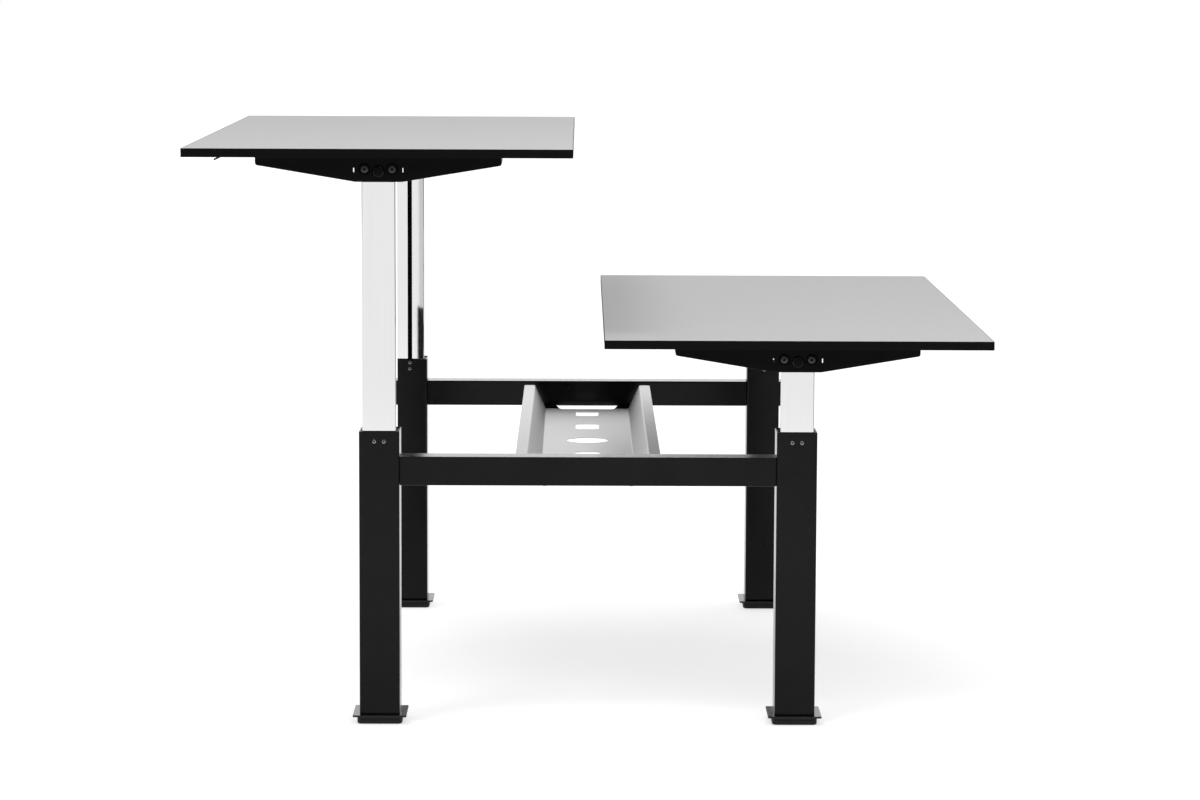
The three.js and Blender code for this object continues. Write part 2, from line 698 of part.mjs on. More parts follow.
// The paddle turns on two pins between the housing's cheeks. Local zero is its axis.
function paddle() {
  const plate = block(PADDLE_LENGTH, PADDLE_WIDTH, PADDLE_THICKNESS).translate(-PADDLE_LENGTH / 2, 0, 0);
  const barrel = rodAlongY(BARREL_DIAMETER, PADDLE_WIDTH);
  const pins = rodAlongY(PIN_DIAMETER, PADDLE_WIDTH + 2 * CHEEK - 2 * FIT, PIN_SIDES);
  return join([plate, barrel, pins]);
}

function paddleHousing() {
  const front = BARREL_DIAMETER;
  const width = PADDLE_WIDTH + 2 * (CHEEK + SLIDE);
  const body = block(front + HOUSING_DEPTH, width, HOUSING_HEIGHT);
  body.translate((HOUSING_DEPTH - front) / 2, 0, 0);
  const gapLength = front + CUT_OVERRUN + BARREL_DIAMETER;
  const gap = block(gapLength, PADDLE_WIDTH + 2 * SLIDE, HOUSING_HEIGHT + 2 * CUT_OVERRUN);
  gap.translate(BARREL_DIAMETER - gapLength / 2, 0, 0);
  const bore = rodAlongY(PIN_DIAMETER + 2 * RUNNING, width + 2 * CUT_OVERRUN, PIN_SIDES);
  return join([body], [gap, bore]);
}

function paddleSwitch(side) {
  const axis = new THREE.Group();
  const x = -DESK_DEPTH / 2 + PADDLE_INSET + PADDLE_LENGTH * Math.cos(PADDLE_TILT);
  axis.position.set(x, -DESK_LENGTH / 2 + PADDLE_FROM_END, -FIT - HOUSING_HEIGHT / 2);
  const lever = piece(`handset_paddle_${side.name}`, paddle(), MATERIALS.plastic);
  lever.rotation.y = -PADDLE_TILT;
  axis.add(lever, piece(`handset_housing_${side.name}`, paddleHousing(), MATERIALS.plastic));
  return axis;
}

function underboard(side) {
  const railZ = armTop - ARM_SHEET - FIT - RAIL_HEIGHT / 2;
  const controlBase = piece(`control_box_${side.name}`, controlBox(), MATERIALS.plastic);
  controlBase.position.set(CONTROL_OFFSET, CONTROL_POSITION, -FIT - CONTROL_HEIGHT);
  return [
    piece(`side_rail_${side.name}_user`, sideRail(), MATERIALS.powderCoat, -railOffset, 0, railZ),
    piece(`side_rail_${side.name}_inner`, sideRail(), MATERIALS.powderCoat, railOffset, 0, railZ),
    piece(`drive_shaft_${side.name}`, driveShaft(), MATERIALS.steel, 0, 0, shaftZ),
    piece(`motor_${side.name}`, motor(), MATERIALS.casting, 0, MOTOR_POSITION, shaftZ),
    controlBase,
    paddleSwitch(side),
  ];
}

// One desk, built with its user at -X. The other desk is the same one turned half a turn.
function desk(side) {
  const unit = new THREE.Group();
  unit.position.set(side.x, 0, side.undersideZ);
  unit.rotation.z = side.turn;
  unit.add(
    piece(`desktop_${side.name}`, desktop(), MATERIALS.laminate),
    piece(`edge_band_${side.name}`, edgeBand(), MATERIALS.edge),
    columnHead(side, side.ends[0], -columnY, 0),
    columnHead(side, side.ends[1], columnY, Math.PI),
    ...underboard(side),
  );
  return unit;
}

// The whole bench
const bench = new THREE.Group();
for (const side of SIDES) {
  for (const end of ENDS) {
    bench.add(columnFoot(side, end));
  }
}
for (const end of ENDS) {
  bench.add(beamAndBracket(end));
}
bench.add(piece("cable_tray", cableTray(), MATERIALS.tray, 0, 0, beamBottom + TRAY_SHEET));
for (const side of SIDES) {
  bench.add(desk(side));
}

export default bench;
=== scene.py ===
"""Looks for the benching desk for two: two height-adjustable desks, back to back on one steel frame.

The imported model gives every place. Shapes are drawn in millimetres about their own zero, and
become metres when a mesh is finished. A column's own +Y points to the middle of the desk.
"""

import json
import math

import bmesh
import bpy
from mathutils import Matrix, Vector

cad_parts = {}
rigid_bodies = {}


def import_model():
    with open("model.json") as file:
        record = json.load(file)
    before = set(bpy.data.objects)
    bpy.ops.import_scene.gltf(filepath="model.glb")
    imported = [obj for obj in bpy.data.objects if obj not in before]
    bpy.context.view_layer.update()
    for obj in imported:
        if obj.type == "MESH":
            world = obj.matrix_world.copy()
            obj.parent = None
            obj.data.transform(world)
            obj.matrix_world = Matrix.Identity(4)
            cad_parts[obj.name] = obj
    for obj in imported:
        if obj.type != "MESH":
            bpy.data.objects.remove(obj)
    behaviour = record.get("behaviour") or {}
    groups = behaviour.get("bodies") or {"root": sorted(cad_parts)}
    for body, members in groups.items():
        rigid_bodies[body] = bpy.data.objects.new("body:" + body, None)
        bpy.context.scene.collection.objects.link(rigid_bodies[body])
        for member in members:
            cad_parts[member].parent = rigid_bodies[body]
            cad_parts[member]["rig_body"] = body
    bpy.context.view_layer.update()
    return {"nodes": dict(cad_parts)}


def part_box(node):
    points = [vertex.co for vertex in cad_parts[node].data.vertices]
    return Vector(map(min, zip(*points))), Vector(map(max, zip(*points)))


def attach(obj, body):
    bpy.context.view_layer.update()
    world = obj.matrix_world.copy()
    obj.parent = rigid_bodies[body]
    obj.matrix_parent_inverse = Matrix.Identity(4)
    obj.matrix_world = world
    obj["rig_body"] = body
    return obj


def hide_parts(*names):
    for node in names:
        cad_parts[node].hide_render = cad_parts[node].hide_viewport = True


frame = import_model()

MM = 0.001
SIDES = ("left", "right")
ENDS = ("near", "far")
BODY_OF = {name: node["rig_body"] for name, node in frame["nodes"].items()}

# Smoothness
CORNER_STEPS = 8
FOLD_STEPS = 5
SCREW_SIDES = 24
ROUND_SIDES = 48
HOLE_SIDES = 64
SMOOTH_BELOW = math.radians(32)
BEVEL_ABOVE = math.radians(40)
FLAT_BELOW = math.radians(1)
MITRE_LIMIT = 0.2
WELD = 0.01
THROUGH = 2  # how far a cutting shape passes the faces it cuts

# A screw's profile: shares of the head's radius or the socket's width, and of the height
SCREW_HEAD = ((1, 0), (1, 0.55), (0.93, 0.82), (0.8, 1))
SCREW_SOCKET = ((1.08, 1), (1, 0.94), (1, 0.3))

# Screws: the head's radius and height, and the socket's width across its flats
COLUMN_SCREW = (4.2, 1.8, 3.8)
BRACKET_SCREW = (5, 3, 4)
ARM_SCREW = (8, 2.6, 5)
RAIL_SCREW = (5.5, 2.6, 3.6)
MOTOR_SCREW = (4, 2.2, 3)
LID_SCREW = (3.6, 1.6, 2.6)
BOSS_SCREW = (2.6, 1.8, 2)

# Washers: radius, the bore's radius and thickness
ARM_WASHER = (10.6, 4, 1.2)
RAIL_WASHER = (7, 3, 1)
WASHER_CHAMFER = 0.3  # a share of the thickness

# Columns and feet
OUTER_WALL = 3
OUTER_RADIUS = 5
INNER_WALL = 3
INNER_RADIUS = 2.5
INNER_BORE_RADIUS = 0.5
COLUMN_SLOT = 10.5
RIM_ROUNDING = 0.6
END_SCREW_OFFSET = 10
END_SCREW_DROP = 21
INNER_SCREW_DROPS = (8.4, 23.4)
FOOT_RADIUS = 10
FOOT_ROUNDING = 4
GROOVE_DEPTH = 0.5
GROOVE_LOW = 10
GROOVE_HIGH = 11.3
GROOVE_EDGE = 0.3
PLATE_RADIUS = 3
PLATE_GAP = 0.3
STUD_RADIUS = 6
STUD_ROOT = 1
STUD_CHAMFER = 1
STUD_HOLE = 6.3

# Beams, brackets and tray
BEAM_RADIUS = 3
BEAM_WALL = 3
TRAY_SHEET = 1.5
TRAY_FOLD = 3
TRAY_FLOOR = 200
TRAY_MOUTH = 254
FLOOR_END = 600
SLOPE_DROP = 1  # from the flange's underside down to the slope's upper end
FLANGE_RADIUS = 6
HOLE_DIAMETER = 94
SLOT_LENGTH = 96
SLOT_WIDTH = 54
SLOT_RADIUS = 12
SLOT_PLACES = (-500, -250, 250, 500)
CUTOUT_START = 588
CUTOUT_END = 700
CUTOUT_LOW = 63
CUTOUT_HIGH = 77
CUTOUT_RADIUS = 7
BRACKET_LIP = 8  # how far a bracket passes the tray's floor on each side
BEAM_SCREW_INSET = (9.5, 20)  # from the bracket's solid side and its end under the beam
TRAY_SCREW_INSET = (40, 14)  # from the bracket's solid side and its end under the tray

# Arms and what is fixed in them
ARM_TIP = 18
ARM_FLAT = 96
ARM_SHEET = 4
ARM_TIP_RADIUS = 5
ARM_FOLD = 2.5
SHAFT_RISE = 22
CAP_DIAMETER = 26
CAP_DROP = 1.3
CAP_GAP = 0.3
CAP_PROFILE = ((0, 0), (0, 2.8), (1.6, 4.2), (2.2, 4.4), (6, 4.5))  # in from the edge, and height
CAP_TIP = (1, 4.6)  # radius and height
# A near-black sheet behind the arm's holes, which stands in for the shade there: painted shade.
SHADE_SHEET_LIP = 0.6
SHADE_SHEET_FACE = 0.02
SHADE_SHEET_BACK = 0.25
RECESS_OFFSET = 28.3
RECESS_RISE = 27
RECESS_DIAMETER = 24
ARM_SCREW_DROP = 1  # from the recess's middle to its screw
SLIT_OFFSET = 50.5
SLIT_RISE = 24.4
SLIT_WIDTH = 2.3
SLIT_HEIGHT = 9.2
SLIT_RADIUS = 0.8
SPINDLE_HOLE = 20

# Spindles
THREAD_RADIUS = 8
THREAD_DEPTH = 1.2
THREAD_PITCH = 10
THREAD_STARTS = 2
THREAD_CREST = 1.6  # above one, it widens the crests
THREAD_END = 4  # from the thread's end to the gear
RINGS_PER_PITCH = 8
JOURNAL_RADIUS = 7
JOURNAL_LENGTH = 3
GEAR_RISE = 3.3
GEAR_CHAMFER = 0.6
GEAR_EDGE = 0.8
GEAR_TOP_RADIUS = 8.2

# Board and rails
EDGE_BAND = 1
TOP_RADIUS = 4
BAND_ROUNDING = 0.5
RAIL_RADIUS = 3
RAIL_WALL = 2
RAIL_SCREW_PLACES = (-560, -190, 190, 560)

# Motors, and the gearboxes' bosses
HEAD_LENGTH = 50
HEAD_RADIUS = 5
HEAD_BORE = 6.6
HEAD_SCREW_INSET = 9
CAN_RADIUS = 23
CAN_START = ((0, -1), (0, 8), (1, 9))  # in from the radius, and from the head
CAN_BAND = ((1, 26), (0, 25), (0, 6), (1.4, 2.4), (5, 0.8))  # in from the radius, and from the end
CAN_TIP = ((9, 0.8), (8.4, 0), (3, 0))  # radius, and from the end
BOSS_PROFILE = ((15, 0), (15, 2.4), (14.2, 3.2), (9, 3.2), (8.6, 2.8), (6.9, 2.8), (6.9, 0))
BOSS_SCREW_CIRCLE = 19.5
BOSS_SCREW_TURNS = (45, 135, 225, 315)

# Control boxes
CASE_RADIUS = 8
CASE_ROUNDING = 3
SOCKET_PLACES = (-28, 0, 28)
SOCKET_WIDTH = 18
SOCKET_HEIGHT = 12
SOCKET_RADIUS = 1
SOCKET_DEPTH = 10
PIN_PLACES = (-5, 0, 5)
PIN_PROFILE = ((0.9, -SOCKET_DEPTH), (0.9, -3), (0.5, -2.4))
VENT_COUNT = 9
VENT_START = 6
VENT_STEP = 9
VENT_LENGTH = 56
VENT_WIDTH = 4
VENT_RADIUS = 1.9
VENT_DEPTH = 1.6
LID_SCREW_X = 38
LID_SCREW_Y = 100

# Materials: the usual range of a noise texture
GRAIN_LOW = 0.3
GRAIN_HIGH = 0.7

# Studio: metres and degrees, with the lens and its sensor in millimetres
FLOOR_LEFT = -14
FLOOR_RIGHT = 4
FLOOR_LENGTH = 80
FLOOR_SEEN = 0.6
FLOOR_UNSEEN = 0.75
# Painted shade: the floor's glow is weakest round this middle and grows away from it, so the floor is
# darker round the desks than their cast shadow alone makes it.
PAINTED_SHADE_MIDDLE = (0.05, -0.5, 0)
GLOW_AND_PAINTED_SHADE = {"From Min": 0.75, "From Max": 1.3, "To Min": 0.6, "To Max": 0.72}  # distance to strength
AROUND_DIM = 0.08
AROUND_BRIGHT = 1.5
AROUND_FALL = 2.2
SKY_FROM = (-0.45, -0.4, 1.0)
SKY_STRENGTH = 0.8
SKY_SPREAD = 20
KEY_PLACE = (0.9, -3.1, 3.8)
KEY_TARGET = (0.3, -0.3, 0.8)
KEY_SIZE = 4.0
KEY_POWER = 85
CAMERA_PLACE = (-0.0179, -8.4551, 1.588)
CAMERA_TURN = -0.3118
CAMERA_TILT = 6.7102
CAMERA_ROLL = 0.2313
LENS = 112.73
SENSOR = 36


def box_mm(node):
    """The node's lowest and highest corners, in millimetres."""
    low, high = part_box(node)
    return low / MM, high / MM


def size_of(node):
    low, high = box_mm(node)
    return high - low


def middle_of(node):
    low, high = box_mm(node)
    return (low + high) / 2


# Materials: a Principled shader and the textures that vary it, in the piece's own metres.
class Look:
    def __init__(self, name, metallic=0.0, specular=0.5):
        self.material = bpy.data.materials.new(name)
        self.material.use_nodes = True
        self.tree = self.material.node_tree
        self.shader = self.tree.nodes["Principled BSDF"]
        self.shader.inputs["Metallic"].default_value = metallic
        self.shader.inputs["Specular IOR Level"].default_value = specular
        self.places = self.node("ShaderNodeTexCoord").outputs["Object"]

    def node(self, kind):
        return self.tree.nodes.new(kind)

    def link(self, output, target):
        self.tree.links.new(output, target)

    def grain(self, scale, stretch=(1, 1, 1), detail=2.0):
        """Noise with this many grains to the metre, drawn out where stretch is below one."""
        mapping = self.node("ShaderNodeMapping")
        mapping.inputs["Scale"].default_value = [scale * share for share in stretch]
        self.link(self.places, mapping.inputs["Vector"])
        noise = self.node("ShaderNodeTexNoise")
        noise.inputs["Scale"].default_value = 1.0
        noise.inputs["Detail"].default_value = detail
        self.link(mapping.outputs["Vector"], noise.inputs["Vector"])
        return noise.outputs["Fac"]

    def spread(self, grain, low, high):
        """The grain's usual range, laid out from low to high."""
        laid_out = self.node("ShaderNodeMapRange")
        laid_out.inputs["From Min"].default_value = GRAIN_LOW
        laid_out.inputs["From Max"].default_value = GRAIN_HIGH
        laid_out.inputs["To Min"].default_value = low
        laid_out.inputs["To Max"].default_value = high
        self.link(grain, laid_out.inputs["Value"])
        return laid_out.outputs["Result"]

    def colour(self, grain, dark, light):
        mix = self.node("ShaderNodeMix")
        mix.data_type = "RGBA"
        mix.inputs["A"].default_value = (*dark, 1)
        mix.inputs["B"].default_value = (*light, 1)
        self.link(self.spread(grain, 0, 1), mix.inputs["Factor"])
        self.link(mix.outputs["Result"], self.shader.inputs["Base Color"])

    def roughness(self, grain, smooth, rough):
        self.link(self.spread(grain, smooth, rough), self.shader.inputs["Roughness"])

    def bump(self, grain, depth):
        bump = self.node("ShaderNodeBump")
        bump.inputs["Distance"].default_value = depth
        self.link(grain, bump.inputs["Height"])
        self.link(bump.outputs["Normal"], self.shader.inputs["Normal"])


def grey(level):
    return (level, level, level)


def powder_coat():
    look = Look("powder_coat_black", specular=0.13)
    look.colour(look.grain(14), grey(0.003), grey(0.0055))
    look.roughness(look.grain(90), 0.14, 0.2)
    look.bump(look.grain(900, detail=1), 0.00001)
    return look.material


def coarse_coat():
    look = Look("powder_coat_coarse", specular=0.3)
    look.colour(look.grain(900), grey(0.003), grey(0.01))
    look.roughness(look.grain(700), 0.2, 0.32)
    look.bump(look.grain(1400, detail=1), 0.00003)
    return look.material


def matt_coat():
    look = Look("powder_coat_matt", specular=0.07)
    look.colour(look.grain(20), grey(0.002), grey(0.004))
    look.roughness(look.grain(110), 0.4, 0.5)
    look.bump(look.grain(1100, detail=1), 0.00002)
    return look.material


def laminate():
    look = Look("laminate_grey", specular=0.25)
    look.colour(look.grain(1500, detail=4), grey(0.41), grey(0.5))
    look.roughness(look.grain(220), 0.5, 0.62)
    look.bump(look.grain(1300, detail=3), 0.00005)
    return look.material


def edging():
    look = Look("edging_black", specular=0.07)
    look.colour(look.grain(500), grey(0.002), grey(0.005))
    look.roughness(look.grain(160), 0.38, 0.5)
    look.bump(look.grain(1400), 0.00003)
    return look.material


def chrome():
    look = Look("chrome_drawn", metallic=1.0)
    look.colour(look.grain(260, (1, 1, 0.01)), grey(0.69), grey(0.71))
    look.roughness(look.grain(700, (1, 1, 0.004)), 0.02, 0.045)
    return look.material


# Dark oiled steel made near black, so that it is partly the steel's own tone and partly painted shade
# inside the tubes and on the spindles.
def oiled_steel_and_painted_shade():
    look = Look("steel_oiled_and_painted_shade", metallic=0.4, specular=0.2)
    look.colour(look.grain(30), grey(0.008), grey(0.02))
    look.roughness(look.grain(120), 0.5, 0.7)
    return look.material


def silver_sheet():
    look = Look("sheet_brushed_silver", metallic=0.9)
    look.shader.inputs["Specular Tint"].default_value = (*grey(0.85), 1)
    look.colour(look.grain(1200, (1, 0.012, 1), 3), grey(0.6), grey(0.65))
    look.roughness(look.grain(900, (1, 0.01, 1)), 0.37, 0.39)
    look.bump(look.grain(1500, (1, 0.006, 1)), 0.000001)
    return look.material


def black_zinc():
    look = Look("steel_black_zinc", metallic=1.0)
    look.colour(look.grain(300), grey(0.04), grey(0.065))
    look.roughness(look.grain(700), 0.3, 0.42)
    return look.material


def screw_steel():
    look = Look("steel_screw", metallic=1.0)
    look.colour(look.grain(400), grey(0.2), grey(0.28))
    look.roughness(look.grain(900), 0.24, 0.36)
    return look.material


# Painted shade: near black that stands in for the shade in screw sockets and in the hollow behind the
# arm's holes.
def painted_shade_black():
    look = Look("painted_shade_black", specular=0.03)
    look.colour(look.grain(200), grey(0.0006), grey(0.0014))
    look.roughness(look.grain(300), 0.7, 0.85)
    return look.material


def black_plastic():
    look = Look("plastic_black", specular=0.3)
    look.colour(look.grain(40), grey(0.006), grey(0.012))
    look.roughness(look.grain(300), 0.42, 0.58)
    look.bump(look.grain(1600, detail=1), 0.00008)
    return look.material


def turned_steel():
    look = Look("steel_turned", metallic=1.0)
    look.colour(look.grain(60), grey(0.42), grey(0.52))
    look.roughness(look.grain(900, (0.1, 1, 1)), 0.2, 0.36)
    look.bump(look.grain(1800, (0.1, 1, 1)), 0.00001)
    return look.material


def brass():
    look = Look("brass_cast", metallic=1.0)
    look.colour(look.grain(80), (0.55, 0.38, 0.16), (0.68, 0.49, 0.22))
    look.roughness(look.grain(400), 0.3, 0.46)
    return look.material


def casting():
    look = Look("aluminium_cast", metallic=1.0)
    look.colour(look.grain(70), grey(0.38), grey(0.48))
    look.roughness(look.grain(240), 0.42, 0.58)
    look.bump(look.grain(700), 0.0001)
    return look.material


POWDER_COAT = powder_coat()
COARSE_COAT = coarse_coat()
MATT_COAT = matt_coat()
BLACK_ZINC = black_zinc()
SCREW_STEEL = screw_steel()
PAINTED_SHADE = painted_shade_black()
LAMINATE = laminate()
EDGING = edging()
CHROME = chrome()
OILED_STEEL_AND_PAINTED_SHADE = oiled_steel_and_painted_shade()
SILVER = silver_sheet()
PLASTIC = black_plastic()
STEEL = turned_steel()
BRASS = brass()
CASTING = casting()


# Outlines: points in a plane, counter-clockwise.
def rounded_rect(width, depth, radius):
    points = []
    for quarter, (x, y) in enumerate(((1, 1), (-1, 1), (-1, -1), (1, -1))):
        for step in range(CORNER_STEPS + 1):
            angle = (quarter + step / CORNER_STEPS) * math.pi / 2
            points.append((
                x * (width / 2 - radius) + radius * math.cos(angle),
                y * (depth / 2 - radius) + radius * math.sin(angle),
            ))
    return points


def circle(radius, sides=ROUND_SIDES, x=0.0, y=0.0):
    turns = [2 * math.pi * step / sides for step in range(sides)]
    return [(x + radius * math.cos(turn), y + radius * math.sin(turn)) for turn in turns]


def hexagon(across):
    """A hexagon's outline with as many points as the round head that it is cut in."""
    points = []
    for step in range(SCREW_SIDES):
        angle = 2 * math.pi * step / SCREW_SIDES
        reach = across / 2 / math.cos((angle + math.pi / 6) % (math.pi / 3) - math.pi / 6)
        points.append((reach * math.cos(angle), reach * math.sin(angle)))
    return points


def curve(start, control, end):
    """Points on a quadratic curve, with both of its ends."""
    a, b, c = Vector(start), Vector(control), Vector(end)
    shares = [step / FOLD_STEPS for step in range(FOLD_STEPS + 1)]
    return [tuple(a * (1 - t) ** 2 + b * 2 * t * (1 - t) + c * t * t) for t in shares]


def inset(outline, distance):
    """A convex outline with every side moved in."""
    points = [Vector(point) for point in outline]
    smaller = []
    for before, here, after in zip(points[-1:] + points, points, points[1:] + points[:1]):
        into = (here - before).normalized()
        out = (after - here).normalized()
        middle = Vector((-into.y - out.y, into.x + out.x)).normalized()
        reach = distance / max(MITRE_LIMIT, middle.dot(Vector((-into.y, into.x))))
        smaller.append(tuple(here + middle * reach))
    return smaller


def folded_sheet(face, sheet, radius):
    """The section of a folded sheet, from the corners of its upper face, with an arc at each fold."""
    points = [Vector(point) for point in face]
    start, end = (points[1] - points[0]).normalized(), (points[-1] - points[-2]).normalized()
    upper = [points[0]]
    lower = [points[0] + sheet * Vector((start.y, -start.x))]
    for before, here, after in zip(points, points[1:], points[2:]):
        into = (here - before).normalized()
        out = (after - here).normalized()
        turn = math.atan2(into.x * out.y - into.y * out.x, into.dot(out))
        above = radius if turn > 0 else radius + sheet
        below = above + math.copysign(sheet, turn)
        first = here - into * above * math.tan(abs(turn) / 2)
        centre = first + math.copysign(above, turn) * Vector((-into.y, into.x))
        arm = (first - centre).normalized()
        for step in range(FOLD_STEPS + 1):
            spoke = Matrix.Rotation(turn * step / FOLD_STEPS, 2) @ arm
            upper.append(centre + above * spoke)
            lower.append(centre + below * spoke)
    upper.append(points[-1])
    lower.append(points[-1] + sheet * Vector((end.y, -end.x)))
    return [tuple(point) for point in upper + lower[::-1]]


# Solids
def level(outline, z):
    return [(x, y, z) for x, y in outline]


def skin(bm, rings, place=Matrix(), closed=False, index=0):
    """Faces between rings of equally many points, with both ends capped, or joined if closed."""
    rows = [[bm.verts.new(place @ Vector(point)) for point in ring] for ring in rings]
    pairs = list(zip(rows, rows[1:]))
    if closed:
        pairs.append((rows[-1], rows[0]))
    faces = []
    for low, high in pairs:
        for here, there in zip(range(len(low)), [*range(1, len(low)), 0]):
            faces.append(bm.faces.new((low[here], low[there], high[there], high[here])))
    if not closed:
        faces += [bm.faces.new(rows[0][::-1]), bm.faces.new(rows[-1])]
    for face in faces:
        face.material_index = index
    return faces


def prism(outline, low, high, place=Matrix()):
    bm = bmesh.new()
    skin(bm, [level(outline, low), level(outline, high)], place)
    return bm


def add_prism(bm, outline, low, high, place=Matrix(), index=0):
    skin(bm, [level(outline, low), level(outline, high)], place, index=index)


def add_turned(bm, profile, place=Matrix(), sides=ROUND_SIDES, index=0):
    """A round solid about +Z, from pairs of radius and height."""
    return skin(bm, [level(circle(radius, sides), z) for radius, z in profile], place, index=index)


def lower_edge(radius, steps):
    """Pairs of inset and height round a lower edge, from the underside up."""
    turns = [step / steps * math.pi / 2 for step in range(steps + 1)]
    return [(radius * (1 - math.sin(turn)), radius * (1 - math.cos(turn))) for turn in turns]


def stepped(width, depth, radius, profile):
    """Rings that are rounded rectangles, from pairs of inset and height."""
    return [
        level(rounded_rect(width - 2 * less, depth - 2 * less, radius - less), z)
        for less, z in profile
    ]


def tube(width, depth, wall, radius, low, high, place=Matrix()):
    """A square tube with rounded corners and eased rims."""
    ease = RIM_ROUNDING
    bore = max(radius - wall, ease)

    def outer(less):
        return rounded_rect(width - 2 * less, depth - 2 * less, radius)

    def inner(more):
        return rounded_rect(width - 2 * wall + 2 * more, depth - 2 * wall + 2 * more, bore)

    bm = bmesh.new()
    rings = [
        level(outer(ease), low),
        level(outer(0), low + ease),
        level(outer(0), high - ease),
        level(outer(ease), high),
        level(inner(ease), high),
        level(inner(0), high - ease),
        level(inner(0), low + ease),
        level(inner(ease), low),
    ]
    skin(bm, rings, place, closed=True)
    return bm


def add_screw(bm, place, size, index=0, socket=1):
    """A round head with a hexagon socket, standing on its place along +Z."""
    radius, height, across = size
    rings = [level(circle(share * radius, SCREW_SIDES), z * height) for share, z in SCREW_HEAD]
    rings += [level(hexagon(share * across), z * height) for share, z in SCREW_SOCKET]
    faces = skin(bm, rings, place, index=index)
    # The socket's faces take the near-black painted shade, on top of the shade from the socket's real
    # depth.
    for face in [*faces[-2 - SCREW_SIDES:-2], faces[-1]]:
        face.material_index = socket


def add_washer(bm, place, size, index=0):
    radius, bore, thickness = size
    chamfer = WASHER_CHAMFER * thickness
    profile = [
        (radius, 0),
        (radius, thickness - chamfer),
        (radius - chamfer, thickness),
        (bore, thickness),
        (bore, 0),
    ]
    rings = [level(circle(reach, SCREW_SIDES), z) for reach, z in profile]
    skin(bm, rings, place, closed=True, index=index)


# Finished meshes and pieces
def brought_in(bm):
    """A passing object that modifiers can work on."""
    bmesh.ops.recalc_face_normals(bm, faces=bm.faces)
    mesh = bpy.data.meshes.new("passing")
    bm.to_mesh(mesh)
    bm.free()
    passing = bpy.data.objects.new("passing", mesh)
    bpy.context.scene.collection.objects.link(passing)
    return passing


def bake(passing):
    """Makes what the modifiers show the object's own mesh."""
    shown = passing.evaluated_get(bpy.context.evaluated_depsgraph_get())
    plain = passing.data
    passing.data = bpy.data.meshes.new_from_object(shown)
    passing.modifiers.clear()
    bpy.data.meshes.remove(plain)


def finished(bm, *materials, cuts=(), bevel=0.0, steps=2, scale=MM):
    """A mesh in metres from a shape in millimetres: cut, with its sharp edges eased."""
    body = brought_in(bm)
    for material in materials:
        body.data.materials.append(material)
    tools = [brought_in(cut) for cut in cuts]
    for tool in tools:
        boolean = body.modifiers.new("cut", "BOOLEAN")
        boolean.object = tool
        boolean.solver = "EXACT"
    if bevel:
        ease = body.modifiers.new("ease", "BEVEL")
        ease.width = bevel
        ease.segments = steps
        ease.angle_limit = BEVEL_ABOVE
    bake(body)
    for tool in tools:
        bpy.data.meshes.remove(tool.data)
    mesh = body.data
    mesh.shade_smooth()
    mesh.set_sharp_from_angle(angle=SMOOTH_BELOW)
    flatten = body.modifiers.new("flatten", "WEIGHTED_NORMAL")
    flatten.keep_sharp = True
    bake(body)
    mesh = body.data
    bpy.data.objects.remove(body)
    mesh.transform(Matrix.Scale(scale, 4))
    return mesh


def show(name, mesh, node, place=Matrix(), instead=True):
    """Puts a mesh in place on the node's body, where it stands for the node or adds to it."""
    mesh.name = name
    piece = bpy.data.objects.new(name, mesh)
    bpy.context.scene.collection.objects.link(piece)
    piece.matrix_world = place
    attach(piece, BODY_OF[node])
    if instead:
        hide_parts(node)


def dressed(node, material, bevel):
    """The node's own shape with its flat faces joined up and its edges eased."""
    bm = bmesh.new()
    bm.from_mesh(frame["nodes"][node].data)
    bmesh.ops.remove_doubles(bm, verts=bm.verts, dist=WELD * MM)
    bmesh.ops.dissolve_limit(bm, angle_limit=FLAT_BELOW, verts=bm.verts, edges=bm.edges)
    for face in bm.faces:
        face.material_index = 0
    mesh = finished(bm, material, bevel=bevel * MM, scale=1.0)
    show(f"{node}_dressed", mesh, node)


# Places
def moved(x=0.0, y=0.0, z=0.0):
    return Matrix.Translation((x, y, z))


def turned_about(axis, degrees):
    return Matrix.Rotation(math.radians(degrees), 4, axis)


# A drawing's height points out of a face that looks to -Y or +Y, or along +X.
OUT_NEAR = turned_about("X", 90)
OUT_FAR = turned_about("Z", 180) @ turned_about("X", 90)
ALONG_X = turned_about("Z", 90) @ turned_about("X", 90)


def column_place(side, end):
    """The floor under a column, in metres."""
    middle = middle_of(f"outer_column_{side}_{end}") * MM
    return moved(middle.x, middle.y) @ turned_about("Z", 0 if end == "near" else 180)


def head_place(side, end):
    """The board's underside over a column, in metres."""
    return moved(z=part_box(f"desktop_{side}")[0].z) @ column_place(side, end)


def desk_place(side):
    """The middle of the board's underside, in metres, with the user at -X."""
    low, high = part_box(f"desktop_{side}")
    turn = turned_about("Z", 0 if side == "left" else 180)
    return moved((low.x + high.x) / 2, (low.y + high.y) / 2, low.z) @ turn


def local_box(node, place):
    """The node's lowest and highest corners about a place, in millimetres."""
    corners = [place.inverted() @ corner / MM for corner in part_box(node)]
    return Vector(map(min, *corners)), Vector(map(max, *corners))


HEAD = head_place("left", "near")
DESK = desk_place("left")


# Frame: columns, feet, beams, brackets and tray
def outer_column():
    low, high = box_mm("outer_column_left_near")
    width = high.x - low.x
    bm = tube(width, width, OUTER_WALL, OUTER_RADIUS, low.z, high.z)
    return finished(bm, POWDER_COAT)


